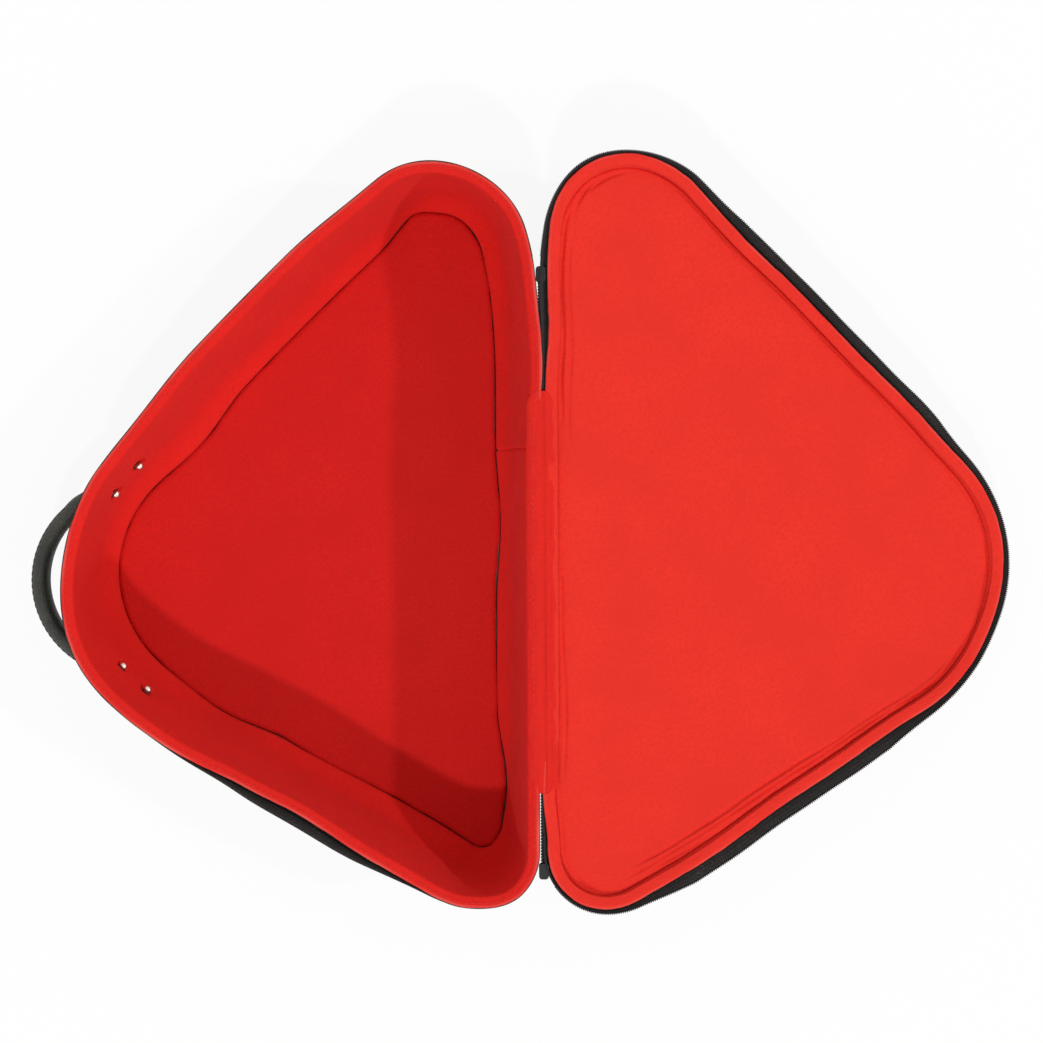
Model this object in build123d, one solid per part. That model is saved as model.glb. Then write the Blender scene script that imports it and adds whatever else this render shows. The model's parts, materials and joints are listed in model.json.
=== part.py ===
from build123d import *
import math
import os

# A rounded-triangle hat case lying open: a deep base on the left and a shallow
# lid on the right, joined by a cloth hinge along their long sides and closed by
# a zip that runs round the other two sides. Millimetres, +Z up, +Y along the
# hinge, origin at the middle of the base's flat bottom.

# Main sizes
BASE_HEIGHT = 95.0
LID_HEIGHT = 42.0
BASE_DRAFT = 10.0
LID_DRAFT = 6.0
RIM_GAP = 0.3
HINGE_GAP = 3.0

# Rim outline seen from above: corner circles as x, y, radius
HINGE_SIDE_X = 153.0
TOP_CORNER = (91.0, 183.0, 57.5)
APEX_CORNER = (-45.0, -26.5, 108.0)
BOTTOM_CORNER = (114.0, -201.5, 39.0)
SHOULDER_RADIUS = 250.0
UPPER_SIDE_RADIUS = 2160.0
LOWER_SIDE_RADIUS = 15400.0

# Wall build-up from the outside in
COVER = 1.0
BOARD = 3.0
LINING_TOP = 3.0
LINING_FOOT = 6.0
SEAM_GAP = 0.6
LINING_SEAM_Y = 55.0

# Base bottom build-up
BOTTOM_COVER = 1.2
BOTTOM_BOARD = 4.0
FLOOR_PAD = 5.0
FLOOR_CLOTH = 1.0
FLOOR_INSET = 21.0
FLOOR_ROUND = 3.0

# Lid build-up, from the crown down to the recess under the rim
CROWN_COVER = 1.2
CROWN_BOARD = 3.0
LID_RECESS = 6.0
PANEL_CLOTH = 1.5
PANEL_INSET = 13.0
PANEL_ROUND = 4.0

# Rim binding, piping and zip
BINDING = 1.6
BINDING_EASE = 0.5
PIPING_RADIUS = 1.8
PIPING_RISE = 2.2
PIPING_BED = 0.9
PIPING_SIDES = 8
TAPE = 0.8
BASE_TAPE_LOW = 13.0
BASE_TAPE_HIGH = 1.8
LID_TAPE_FLARE = 5.5
LID_TAPE_RISE = 9.0
LID_COIL_RISE = 1.25
COIL_RADIUS = 1.1
COIL_CENTRE = 1.5
COIL_SIDES = 6

# Cloth hinge between the two long sides
HINGE_LOW_Y = -162.0
HINGE_HIGH_Y = 89.0
HINGE_CLOTH = 1.0
HINGE_TAPE = 1.2
HINGE_TAPE_DROP = 26.0
HINGE_LEAF_GAP = 0.4
FOLD_RADIUS = 2.6
FOLD_THICKNESS = 0.8
FOLD_HALF_ANGLE = 35.0
FOLD_CLEARANCE = 0.3
FOLD_END_GAP = 1.0

# Zip ends, sliders and pulls, hanging at the two ends of the hinge
END_COIL_START = 1.0
UPPER_SLIDER_Y = 166.0
LOWER_SLIDER_Y = -215.0
TEETH_START = 4.0
SLIDER_LENGTH = 10.0
SLIDER_WIDTH = 6.2
SLIDER_PLATE = 1.3
SLIDER_ROUND = 2.0
WEDGE_SETBACK = 2.2
WEDGE_WIDTH = 2.0
WEDGE_LENGTH = 3.2
SLIDER_DROP = 5.6
CHANNEL_CLEARANCE = 0.3
BRIDGE_LENGTH = 8.0
BRIDGE_WIDTH = 1.8
BRIDGE_HEIGHT = 4.2
BRIDGE_BAR = 1.4
PULL_LENGTH = 18.0
PULL_WIDTH = 4.0
PULL_THICKNESS = 1.4
PULL_ROUND = 1.5
PULL_BAR = 0.7
PULL_EYE_WIDTH = 2.4
PULL_EYE_LENGTH = 5.6
PULL_PLAY = 0.3
PULL_HOLE = 1.1
PULL_HOLE_RISE = 3.4

# Riveted carrying handle at the apex
HANDLE_Z = 50.0
HANDLE_DIRECTION = 181.8
STRAP_HEIGHT = 18.0
STRAP_THICKNESS = 2.6
TAB_START_DEG = 29.0
TAB_END_DEG = 57.0
RIVET_DEGS = (37.0, 50.5)
BOW_END_DEG = 31.0
BOW_OUT = 126.0
GRIP_THICKNESS = 11.0
GRIP_HEIGHT = 22.0
GRIP_EDGE = 3.0
GRIP_TRIM = 13.0
RIVET_RADIUS = 2.0
RIVET_CLEARANCE = 0.05
PUNCH_SIDES = 8
HOLE_DEPTH = 30.0
RIVET_HEAD_RADIUS = 4.2
RIVET_HEAD_HEIGHT = 1.8
RIVET_TAIL_RADIUS = 2.4
RIVET_TAIL_HEIGHT = 1.3
DOME_SHOULDER = 0.75
DOME_BEND = 0.65
DOME_CROWN = 0.3
WASHER_RADIUS = 3.2
WASHER_THICKNESS = 0.7
WASHER_SEAT = 0.2

HINGE_X = HINGE_SIDE_X + HINGE_GAP
RIM_Z = BASE_HEIGHT
OVER = 2.0
TAPE_END_GAP = 0.5
SIDE_BOX_IN = 40.0
SIDE_BOX_OUT = 20.0


def polar(centre, radius, degrees):
    """Point at a radius and angle from a centre, in the XY plane."""
    angle = math.radians(degrees)
    return (centre[0] + radius * math.cos(angle), centre[1] + radius * math.sin(angle))


def side_arc(first, second, radius):
    """Large circle that touches two corner circles from outside and bulges left."""
    reach_first = radius - first[2]
    reach_second = radius - second[2]
    span_x = second[0] - first[0]
    span_y = second[1] - first[1]
    span = math.hypot(span_x, span_y)
    along = (reach_first**2 - reach_second**2 + span**2) / (2 * span)
    across = math.sqrt(reach_first**2 - along**2)
    x = first[0] + (span_x * along - span_y * across) / span
    y = first[1] + (span_y * along + span_x * across) / span
    return (x, y, radius)


def shoulder_arc():
    """Gentle arc that leads the straight hinge side into the top corner."""
    x = HINGE_SIDE_X - SHOULDER_RADIUS
    reach = SHOULDER_RADIUS - TOP_CORNER[2]
    y = TOP_CORNER[1] - math.sqrt(reach**2 - (TOP_CORNER[0] - x) ** 2)
    return (x, y, SHOULDER_RADIUS)


def join_angle(first, second):
    """Direction in which two touching circles meet, from the larger one's centre."""
    large, small = (first, second) if first[2] > second[2] else (second, first)
    return math.degrees(math.atan2(small[1] - large[1], small[0] - large[0])) % 360


SHOULDER = shoulder_arc()
UPPER_SIDE = side_arc(TOP_CORNER, APEX_CORNER, UPPER_SIDE_RADIUS)
LOWER_SIDE = side_arc(APEX_CORNER, BOTTOM_CORNER, LOWER_SIDE_RADIUS)


def outline(inset, z):
    """Closed rim outline moved inwards by an inset, at a height."""
    chain = [SHOULDER, TOP_CORNER, UPPER_SIDE, APEX_CORNER, LOWER_SIDE, BOTTOM_CORNER]
    angles = [0.0]
    angles += [join_angle(chain[i], chain[i + 1]) for i in range(len(chain) - 1)]
    angles += [360.0]
    edges = []
    for circle, start, end in zip(chain, angles, angles[1:]):
        edges.append(CenterArc((circle[0], circle[1], z), circle[2] - inset, start, end - start))
    x = HINGE_SIDE_X - inset
    edges.append(Line((x, BOTTOM_CORNER[1], z), (x, SHOULDER[1], z)))
    return Wire(edges)


def tapered(low_inset, high_inset, low_z, high_z):
    """Solid between two outlines at two heights."""
    return Solid.make_loft([outline(low_inset, low_z), outline(high_inset, high_z)], ruled=True)


def base_inset(z):
    """How far the base's wall leans in at a height above the floor."""
    return BASE_DRAFT * (1 - z / BASE_HEIGHT)


def lid_inset(z):
    """How far the closed lid's wall leans in at a height."""
    return LID_DRAFT * (z - RIM_Z) / LID_HEIGHT


def block(lean, skin, low_z, high_z):
    """Solid inside the wall surface of the base or the lid, at a depth of skin."""
    return tapered(lean(low_z) + skin, lean(high_z) + skin, low_z, high_z)


def band(lean, outer_skin, inner_skin, low_z, high_z):
    """Wall band between two depths of the base's or the lid's wall."""
    return block(lean, outer_skin, low_z, high_z) - block(lean, inner_skin, low_z, high_z)


def bead(inset, z, radius, sides):
    """Bead that follows the outline, its round section drawn with a few flats."""
    path = outline(inset, z)
    section = Plane(origin=path @ 0, z_dir=path % 0) * RegularPolygon(radius, sides)
    return sweep(section, path=path)


def box_between(low, high):
    """Box from its lowest to its highest corner."""
    size = [b - a for a, b in zip(low, high)]
    middle = [(a + b) / 2 for a, b in zip(low, high)]
    return Pos(*middle) * Box(*size)


def hinge_side_box(low_y, high_y, low_z, high_z):
    """Box that takes in the long side between two places along the hinge."""
    return box_between((HINGE_SIDE_X - SIDE_BOX_IN, low_y, low_z), (HINGE_X + SIDE_BOX_OUT, high_y, high_z))


def closed_zip_box(low_z, high_z):
    """Box over the long side between the sliders, where no open teeth lie."""
    reach = SLIDER_LENGTH / 2 + TEETH_START
    return hinge_side_box(LOWER_SLIDER_Y - reach, UPPER_SLIDER_Y + reach, low_z, high_z)


def opened(shape):
    """Turn a piece of the closed lid to its open place beside the base."""
    return shape.rotate(Axis((HINGE_X, 0, RIM_Z), (0, 1, 0)), 180 + TILT)


def lid_tilt():
    """Angle that brings the open lid's far crown edge down to the floor."""
    apex_x = APEX_CORNER[0] - APEX_CORNER[2]
    far = HINGE_X - apex_x - LID_DRAFT
    reach = math.hypot(far, LID_HEIGHT)
    return math.degrees(math.asin(RIM_Z / reach) - math.atan2(LID_HEIGHT, far))


TILT = lid_tilt()


def apex_wall(degrees, inset):
    """Wall point seen from the apex corner's centre at an angle, and its outward direction."""
    arc_start = join_angle(UPPER_SIDE, APEX_CORNER)
    arc_end = join_angle(APEX_CORNER, LOWER_SIDE)
    circle = APEX_CORNER
    if degrees < arc_start:
        circle = UPPER_SIDE
    if degrees > arc_end:
        circle = LOWER_SIDE
    ray = polar((0, 0), 1, degrees)
    offset_x = APEX_CORNER[0] - circle[0]
    offset_y = APEX_CORNER[1] - circle[1]
    along = ray[0] * offset_x + ray[1] * offset_y
    radius = circle[2] - inset
    reach = -along + math.sqrt(along**2 - offset_x**2 - offset_y**2 + radius**2)
    x, y = polar(APEX_CORNER, reach, degrees)
    return (x, y), Vector((x - circle[0]) / radius, (y - circle[1]) / radius, 0)


def rivet_planes():
    """Planes on the base's outer wall at the four rivets, facing outwards."""
    lean = math.atan2(BASE_DRAFT, BASE_HEIGHT)
    planes = []
    for side in (1, -1):
        for degrees in RIVET_DEGS:
            (x, y), out = apex_wall(HANDLE_DIRECTION - side * degrees, base_inset(HANDLE_Z))
            normal = out * math.cos(lean) - Vector(0, 0, 1) * math.sin(lean)
            planes.append(Plane(origin=(x, y, HANDLE_Z), x_dir=(0, 0, 1), z_dir=normal))
    return planes


RIVET_PLANES = rivet_planes()
INNER_SKIN = COVER + BOARD + LINING_TOP


def rivet_holes():
    """Straight holes through the tabs and the wall for the rivets' shanks."""
    holes = []
    for plane in RIVET_PLANES:
        hole = RegularPolygon(RIVET_RADIUS + RIVET_CLEARANCE, PUNCH_SIDES, major_radius=False)
        holes.append(plane * extrude(hole, HOLE_DEPTH, both=True))
    return holes


def cut_rivet_holes(shape):
    """Take the rivet holes out of a piece of the wall or the handle."""
    for hole in rivet_holes():
        shape = shape - hole
    return shape


def lining_block(low_z, high_z):
    """Space inside the wall lining, whose padding thickens towards the floor."""
    foot = base_inset(low_z) + COVER + BOARD + LINING_FOOT
    top = base_inset(high_z) + INNER_SKIN
    return tapered(foot, top, low_z, high_z)


def base_bottom_cover():
    edge = base_inset(0)
    return tapered(edge, edge, 0, BOTTOM_COVER)


def base_bottom_board():
    edge = base_inset(0) + COVER + BOARD
    return tapered(edge, edge, BOTTOM_COVER, BOTTOM_COVER + BOTTOM_BOARD)


def base_wall_board():
    wall = band(base_inset, COVER, COVER + BOARD, BOTTOM_COVER, RIM_Z - BINDING - RIM_GAP)
    return cut_rivet_holes(wall)


def base_side_cover():
    foot = PIPING_RISE + PIPING_RADIUS
    cover = band(base_inset, 0, COVER, foot, RIM_Z - BINDING - RIM_GAP)
    return cut_rivet_holes(cover)


def base_piping():
    inset = base_inset(PIPING_RISE) + PIPING_BED
    bead_ring = bead(inset, PIPING_RISE, PIPING_RADIUS, PIPING_SIDES)
    core = block(base_inset, COVER, 0, 2 * (PIPING_RISE + PIPING_RADIUS))
    return bead_ring - core - base_bottom_cover()


def base_wall_lining():
    low = BOTTOM_COVER + BOTTOM_BOARD
    high = RIM_Z - BINDING - RIM_GAP
    lining = block(base_inset, COVER + BOARD, low, high) - lining_block(low, high)
    seam_low = LINING_SEAM_Y - SEAM_GAP / 2
    seam = hinge_side_box(seam_low, seam_low + SEAM_GAP, 0, RIM_Z)
    return cut_rivet_holes(lining - seam)


def floor_layer(inset, low_z, high_z, radius):
    """Flat layer on the base's floor with its upper edge eased."""
    layer = tapered(inset, inset, low_z, high_z)
    return chamfer(layer.faces().sort_by(Axis.Z)[-1].edges(), radius)


def base_floor_pad():
    low = BOTTOM_COVER + BOTTOM_BOARD
    return floor_layer(FLOOR_INSET + FLOOR_CLOTH, low, low + FLOOR_PAD, FLOOR_ROUND)


def base_floor_cloth():
    low = BOTTOM_COVER + BOTTOM_BOARD
    skin = floor_layer(FLOOR_INSET, low, low + FLOOR_PAD + FLOOR_CLOTH, FLOOR_ROUND + FLOOR_CLOTH)
    return skin - base_floor_pad()


def rim_binding(lean, low_z, high_z, round_up):
    """Lining cloth turned over the wall's edge, with its two free edges eased."""
    binding = band(lean, 0, INNER_SKIN, low_z, high_z)
    faces = binding.faces().sort_by(Axis.Z)
    edge_face = faces[-1] if round_up else faces[0]
    return chamfer(edge_face.edges(), BINDING_EASE)


def base_rim_binding():
    return rim_binding(base_inset, RIM_Z - BINDING - RIM_GAP, RIM_Z - RIM_GAP, True)


def base_zip_tape():
    tape = band(base_inset, -TAPE, 0, RIM_Z - BASE_TAPE_LOW, RIM_Z - BASE_TAPE_HIGH)
    low_y = HINGE_LOW_Y - TAPE_END_GAP
    return tape - hinge_side_box(low_y, HINGE_HIGH_Y + TAPE_END_GAP, 0, RIM_Z + OVER)


def base_zip_coil():
    coil = bead(-TAPE - COIL_RADIUS, RIM_Z - COIL_CENTRE, COIL_RADIUS, COIL_SIDES)
    return coil - closed_zip_box(0, RIM_Z + OVER)


def base_hinge_lining():
    """Red leaf from the base's rim to the fold line."""
    low = (HINGE_SIDE_X, HINGE_LOW_Y, RIM_Z - RIM_GAP - HINGE_CLOTH)
    high = (HINGE_X - HINGE_LEAF_GAP, HINGE_HIGH_Y, RIM_Z - RIM_GAP)
    return box_between(low, high)


def base_hinge_tape():
    """Black leaf: down the base's outer wall and out to the fold line."""
    low_z = RIM_Z - HINGE_TAPE_DROP
    high_z = RIM_Z - RIM_GAP - HINGE_CLOTH
    wall = band(base_inset, -HINGE_TAPE, 0, low_z, high_z)
    wall = wall & hinge_side_box(HINGE_LOW_Y, HINGE_HIGH_Y, low_z, high_z)
    low = (HINGE_SIDE_X, HINGE_LOW_Y, high_z - HINGE_TAPE)
    high = (HINGE_X - FOLD_RADIUS - FOLD_CLEARANCE, HINGE_HIGH_Y, high_z)
    flap = box_between(low, high) - block(base_inset, 0, low_z, RIM_Z)
    return wall + flap


def hinge_fold_tape():
    """Middle of the black hinge cloth, a shallow trough halfway between the two leaves."""
    start = 270 - TILT / 2 - FOLD_HALF_ANGLE
    sweep_angle = 2 * FOLD_HALF_ANGLE
    outer = CenterArc((0, 0), FOLD_RADIUS, start, sweep_angle)
    inner = CenterArc((0, 0), FOLD_RADIUS - FOLD_THICKNESS, start, sweep_angle)
    section = make_face([outer, inner, Line(outer @ 0, inner @ 0), Line(outer @ 1, inner @ 1)])
    place = Plane(origin=(HINGE_X, HINGE_HIGH_Y - FOLD_END_GAP, RIM_Z), x_dir=(1, 0, 0), z_dir=(0, -1, 0))
    return extrude(place * section, HINGE_HIGH_Y - HINGE_LOW_Y - 2 * FOLD_END_GAP)


def lid_crown_cover():
    edge = LID_DRAFT
    return tapered(edge, edge, RIM_Z + LID_HEIGHT - CROWN_COVER, RIM_Z + LID_HEIGHT)


def lid_crown_board():
    edge = LID_DRAFT + COVER + BOARD
    high = RIM_Z + LID_HEIGHT - CROWN_COVER
    return tapered(edge, edge, high - CROWN_BOARD, high)


def lid_wall_board():
    high = RIM_Z + LID_HEIGHT - CROWN_COVER
    return band(lid_inset, COVER, COVER + BOARD, RIM_Z + BINDING + RIM_GAP, high)


def lid_side_cover():
    high = RIM_Z + LID_HEIGHT - PIPING_RISE - PIPING_RADIUS
    return band(lid_inset, 0, COVER, RIM_Z + BINDING + RIM_GAP, high)


def lid_piping():
    z = RIM_Z + LID_HEIGHT - PIPING_RISE
    bead_ring = bead(lid_inset(z) + PIPING_BED, z, PIPING_RADIUS, PIPING_SIDES)
    core = block(lid_inset, COVER, z - 2 * PIPING_RADIUS, RIM_Z + LID_HEIGHT)
    return bead_ring - core - lid_crown_cover()


def lid_wall_lining():
    high = RIM_Z + LID_HEIGHT - CROWN_COVER - CROWN_BOARD
    return band(lid_inset, COVER + BOARD, INNER_SKIN, RIM_Z + BINDING + RIM_GAP, high)


def panel_layer(inset, low_z, high_z, radius):
    """Flat layer in the lid with its rim-side edge eased."""
    layer = tapered(inset, inset, low_z, high_z)
    return chamfer(layer.faces().sort_by(Axis.Z)[0].edges(), radius)


def lid_panel_pad():
    high = RIM_Z + LID_HEIGHT - CROWN_COVER - CROWN_BOARD
    low = RIM_Z + LID_RECESS + PANEL_CLOTH
    return panel_layer(PANEL_INSET + PANEL_CLOTH, low, high, PANEL_ROUND)


def lid_panel_cloth():
    high = RIM_Z + LID_HEIGHT - CROWN_COVER - CROWN_BOARD
    low = RIM_Z + LID_RECESS
    skin = panel_layer(PANEL_INSET, low, high, PANEL_ROUND + PANEL_CLOTH)
    return skin - lid_panel_pad()


def lid_rim_binding():
    return rim_binding(lid_inset, RIM_Z + RIM_GAP, RIM_Z + BINDING + RIM_GAP, False)


def lid_zip_tape():
    """Tape that leans out from the lid's wall, as an unzipped tape does."""
    low = RIM_Z + BASE_TAPE_HIGH
    high = RIM_Z + LID_TAPE_RISE
    root = lid_inset(high)
    outer = tapered(root - LID_TAPE_FLARE - TAPE, root - TAPE, low, high)
    inner = tapered(root - LID_TAPE_FLARE, root, low, high)
    return outer - inner - closed_zip_box(RIM_Z - OVER, RIM_Z + LID_HEIGHT)


def lid_zip_coil():
    z = RIM_Z + LID_COIL_RISE
    coil = bead(-LID_TAPE_FLARE - COIL_RADIUS / 2, z, COIL_RADIUS, COIL_SIDES)
    coil = coil - lid_zip_tape()
    return coil - closed_zip_box(RIM_Z - OVER, RIM_Z + LID_HEIGHT)


def lid_hinge_lining():
    """Red leaf from the lid's rim to the fold line."""
    low = (HINGE_SIDE_X, HINGE_LOW_Y, RIM_Z + RIM_GAP)
    high = (HINGE_X - HINGE_LEAF_GAP, HINGE_HIGH_Y, RIM_Z + RIM_GAP + HINGE_CLOTH)
    return box_between(low, high)


def lid_hinge_tape():
    """Black leaf: along the lid's outer wall and out to the fold line."""
    low_z = RIM_Z + RIM_GAP + HINGE_CLOTH
    high_z = RIM_Z + HINGE_TAPE_DROP
    wall = band(lid_inset, -HINGE_TAPE, 0, low_z, high_z)
    wall = wall & hinge_side_box(HINGE_LOW_Y, HINGE_HIGH_Y, low_z, high_z)
    low = (HINGE_SIDE_X, HINGE_LOW_Y, low_z)
    high = (HINGE_X - FOLD_RADIUS - FOLD_CLEARANCE, HINGE_HIGH_Y, low_z + HINGE_TAPE)
    flap = box_between(low, high) - block(lid_inset, 0, RIM_Z, high_z)
    return wall + flap


def handle_tab(side):
    """Flat end of the handle's strap, lying against the leaning wall."""
    low = HANDLE_Z - STRAP_HEIGHT / 2
    high = HANDLE_Z + STRAP_HEIGHT / 2
    strip = band(base_inset, -STRAP_THICKNESS, 0, low, high)
    corners = [APEX_CORNER[:2]]
    for degrees in (TAB_START_DEG, TAB_END_DEG):
        corners.append(polar(APEX_CORNER, 2 * APEX_CORNER[2], HANDLE_DIRECTION - side * degrees))
    wedge = extrude(Plane.XY.offset(low) * make_face(Polyline(*corners, close=True)), STRAP_HEIGHT)
    return strip & wedge


def handle_path():
    """Arc of the handle's bow, from tab to tab."""
    wall = APEX_CORNER[2] - base_inset(HANDLE_Z) + STRAP_THICKNESS / 2
    start = polar(APEX_CORNER, wall, HANDLE_DIRECTION - BOW_END_DEG)
    end = polar(APEX_CORNER, wall, HANDLE_DIRECTION + BOW_END_DEG)
    middle = polar(APEX_CORNER, BOW_OUT, HANDLE_DIRECTION)
    return ThreePointArc((*start, HANDLE_Z), (*middle, HANDLE_Z), (*end, HANDLE_Z))


def swept_section(path, section):
    """Carry a section, its long side upright, along the bow."""
    plane = Plane(origin=path @ 0, x_dir=(0, 0, 1), z_dir=path % 0)
    return sweep(plane * section, path=path)


def strap_section():
    """Flat section of the handle's strap."""
    return Rectangle(STRAP_HEIGHT, STRAP_THICKNESS)


def grip_section():
    """Padded section of the grip, full in the middle and thin at both edges."""
    section = Rectangle(GRIP_HEIGHT, GRIP_THICKNESS)
    return chamfer(section.vertices(), GRIP_EDGE)


def handle_strap():
    bow = swept_section(handle_path(), strap_section())
    bow = bow - block(base_inset, 0, 0, BASE_HEIGHT)
    strap = bow + handle_tab(1) + handle_tab(-1)
    return cut_rivet_holes(strap)


def handle_grip():
    path = handle_path()
    grip_path = path.trim(GRIP_TRIM / path.length, 1 - GRIP_TRIM / path.length)
    grip = swept_section(grip_path, grip_section()) - swept_section(path, strap_section())
    return grip - block(base_inset, -STRAP_THICKNESS, 0, BASE_HEIGHT)


def rivet_dome(radius, height):
    """Low dome on the XY plane, turned from a stepped profile."""
    shoulder = (DOME_SHOULDER * radius, 0, DOME_BEND * height)
    crown = (DOME_CROWN * radius, 0, height)
    profile = Polyline((0, 0, 0), (radius, 0, 0), shoulder, crown, (0, 0, height), close=True)
    return revolve(make_face(profile), Axis.Z)


def rivet(plane):
    """Domed rivet through tab and wall, peened over a washer inside."""
    outer_head = Pos(0, 0, STRAP_THICKNESS) * rivet_dome(RIVET_HEAD_RADIUS, RIVET_HEAD_HEIGHT)
    depth = rivet_depth() + WASHER_THICKNESS
    inner_head = Pos(0, 0, -depth) * Rot(180, 0, 0) * rivet_dome(RIVET_TAIL_RADIUS, RIVET_TAIL_HEIGHT)
    length = STRAP_THICKNESS + depth
    shank = Pos(0, 0, STRAP_THICKNESS - length / 2) * Cylinder(RIVET_RADIUS, length)
    return plane * (outer_head + shank + inner_head)


def rivet_depth():
    """Depth of the washers' seat below the outer wall, along the rivets."""
    low = BOTTOM_COVER + BOTTOM_BOARD
    high = RIM_Z - BINDING - RIM_GAP
    share = (HANDLE_Z - low) / (high - low)
    lining = LINING_FOOT + (LINING_TOP - LINING_FOOT) * share
    lean = math.atan2(BASE_DRAFT, BASE_HEIGHT)
    return (COVER + BOARD + lining) * math.cos(lean) + WASHER_SEAT


def handle_rivets():
    return Compound(children=[rivet(plane) for plane in RIVET_PLANES])


def rivet_washers():
    """Round washers under the rivets' inner ends."""
    middle = rivet_depth() + WASHER_THICKNESS / 2
    washers = []
    for plane in RIVET_PLANES:
        ring = Cylinder(WASHER_RADIUS, WASHER_THICKNESS) - Cylinder(RIVET_RADIUS + RIVET_CLEARANCE, OVER)
        washers.append(plane * Pos(0, 0, -middle) * ring)
    return Compound(children=washers)


def slider_y(side):
    """Place of a slider along the hinge line, above or below the hinge."""
    return UPPER_SLIDER_Y if side > 0 else LOWER_SLIDER_Y


def end_coil(side):
    """Closed stretch of zip between the hinge's end and the slider."""
    start = HINGE_HIGH_Y + END_COIL_START if side > 0 else HINGE_LOW_Y - END_COIL_START
    end = slider_y(side)
    z = RIM_Z - SLIDER_DROP
    length = abs(end - start)
    middle = (start + end) / 2
    return Pos(HINGE_X, middle, z) * Rot(90, 0, 0) * Cylinder(COIL_RADIUS, length)


def slider(side):
    """Zip slider: two plates joined by a wedge, with a bridge for the pull."""
    z = RIM_Z - SLIDER_DROP
    half_gap = COIL_RADIUS + CHANNEL_CLEARANCE
    plate = Box(SLIDER_WIDTH, SLIDER_LENGTH, SLIDER_PLATE)
    plate = fillet(plate.edges().filter_by(Axis.Z), SLIDER_ROUND)
    upper = Pos(0, 0, half_gap + SLIDER_PLATE / 2) * plate
    lower = Pos(0, 0, -half_gap - SLIDER_PLATE / 2) * plate
    wedge_y = side * (SLIDER_LENGTH / 2 - WEDGE_SETBACK)
    wedge = Pos(0, wedge_y, 0) * Box(WEDGE_WIDTH, WEDGE_LENGTH, 2 * half_gap)
    top = -half_gap - SLIDER_PLATE
    bridge = Pos(0, 0, top - BRIDGE_HEIGHT / 2) * Box(BRIDGE_WIDTH, BRIDGE_LENGTH, BRIDGE_HEIGHT)
    window_length = BRIDGE_LENGTH - 2 * BRIDGE_BAR
    window_height = BRIDGE_HEIGHT - BRIDGE_BAR
    window = Pos(0, 0, top - window_height / 2) * Box(BRIDGE_WIDTH + OVER, window_length, window_height)
    body = upper + lower + wedge + (bridge - window)
    return Pos(HINGE_X, slider_y(side), z) * body


def pull_pivot_z():
    """Height of the pull's own bar, which rests in the bridge's window."""
    plates = COIL_RADIUS + CHANNEL_CLEARANCE + SLIDER_PLATE
    bar_top = RIM_Z - SLIDER_DROP - plates - BRIDGE_HEIGHT + BRIDGE_BAR
    return bar_top + PULL_PLAY + PULL_BAR


def pull(side):
    """Pull tab that hangs straight down from a round bar through the slider's bridge."""
    tab = Box(PULL_WIDTH, PULL_THICKNESS, PULL_LENGTH)
    lower_edges = tab.edges().filter_by(Axis.Y).group_by(Axis.Z)[0]
    tab = Pos(0, 0, -PULL_LENGTH / 2) * fillet(lower_edges, PULL_ROUND)
    eye = Box(PULL_EYE_WIDTH, PULL_THICKNESS + OVER, PULL_EYE_LENGTH)
    grip_hole = Rot(90, 0, 0) * Cylinder(PULL_HOLE, PULL_THICKNESS + OVER)
    tab = tab - Pos(0, 0, -PULL_EYE_LENGTH / 2) * eye - Pos(0, 0, PULL_HOLE_RISE - PULL_LENGTH) * grip_hole
    bar = Rot(0, 90, 0) * Cylinder(PULL_BAR, PULL_WIDTH)
    return Pos(HINGE_X, slider_y(side), pull_pivot_z()) * (tab + bar)


def write(name, shape):
    """Write one piece to its own STEP file."""
    solids = shape.solids()
    piece = solids[0] if len(solids) == 1 else Compound(children=list(solids))
    export_step(piece, os.path.join("parts", name + ".step"))


def main():
    os.makedirs("parts", exist_ok=True)
    base_pieces = {
        "base_bottom_cover": base_bottom_cover(),
        "base_bottom_board": base_bottom_board(),
        "base_wall_board": base_wall_board(),
        "base_side_cover": base_side_cover(),
        "base_piping": base_piping(),
        "base_wall_lining": base_wall_lining(),
        "base_floor_pad": base_floor_pad(),
        "base_floor_cloth": base_floor_cloth(),
        "base_rim_binding": base_rim_binding(),
        "base_zip_tape": base_zip_tape(),
        "base_zip_coil": base_zip_coil(),
        "base_hinge_lining": base_hinge_lining(),
        "base_hinge_tape": base_hinge_tape(),
        "handle_strap": handle_strap(),
        "handle_grip": handle_grip(),
        "handle_rivets": handle_rivets(),
        "rivet_washers": rivet_washers(),
    }
    lid_pieces = {
        "lid_crown_cover": lid_crown_cover(),
        "lid_crown_board": lid_crown_board(),
        "lid_wall_board": lid_wall_board(),
        "lid_side_cover": lid_side_cover(),
        "lid_piping": lid_piping(),
        "lid_wall_lining": lid_wall_lining(),
        "lid_panel_pad": lid_panel_pad(),
        "lid_panel_cloth": lid_panel_cloth(),
        "lid_rim_binding": lid_rim_binding(),
        "lid_zip_tape": lid_zip_tape(),
        "lid_zip_coil": lid_zip_coil(),
        "lid_hinge_lining": lid_hinge_lining(),
        "lid_hinge_tape": lid_hinge_tape(),
    }
    for name, shape in base_pieces.items():
        write(name, shape)
    for name, shape in lid_pieces.items():
        write(name, opened(shape))
    write("hinge_fold_tape", hinge_fold_tape())
    for side, word in ((1, "upper"), (-1, "lower")):
        write("zip_end_coil_" + word, end_coil(side))
        write("zip_slider_" + word, slider(side))
        write("zip_pull_" + word, pull(side))
    print("lid tilt", round(TILT, 3))


main()
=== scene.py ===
"""Looks of a rounded-triangle hat case lying open: deep base, padded lid, cloth hinge, zip and handle."""

from __future__ import annotations

import json
import logging
import math
from dataclasses import dataclass, field
from enum import Enum
from typing import Callable, Iterable, Sequence

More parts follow.
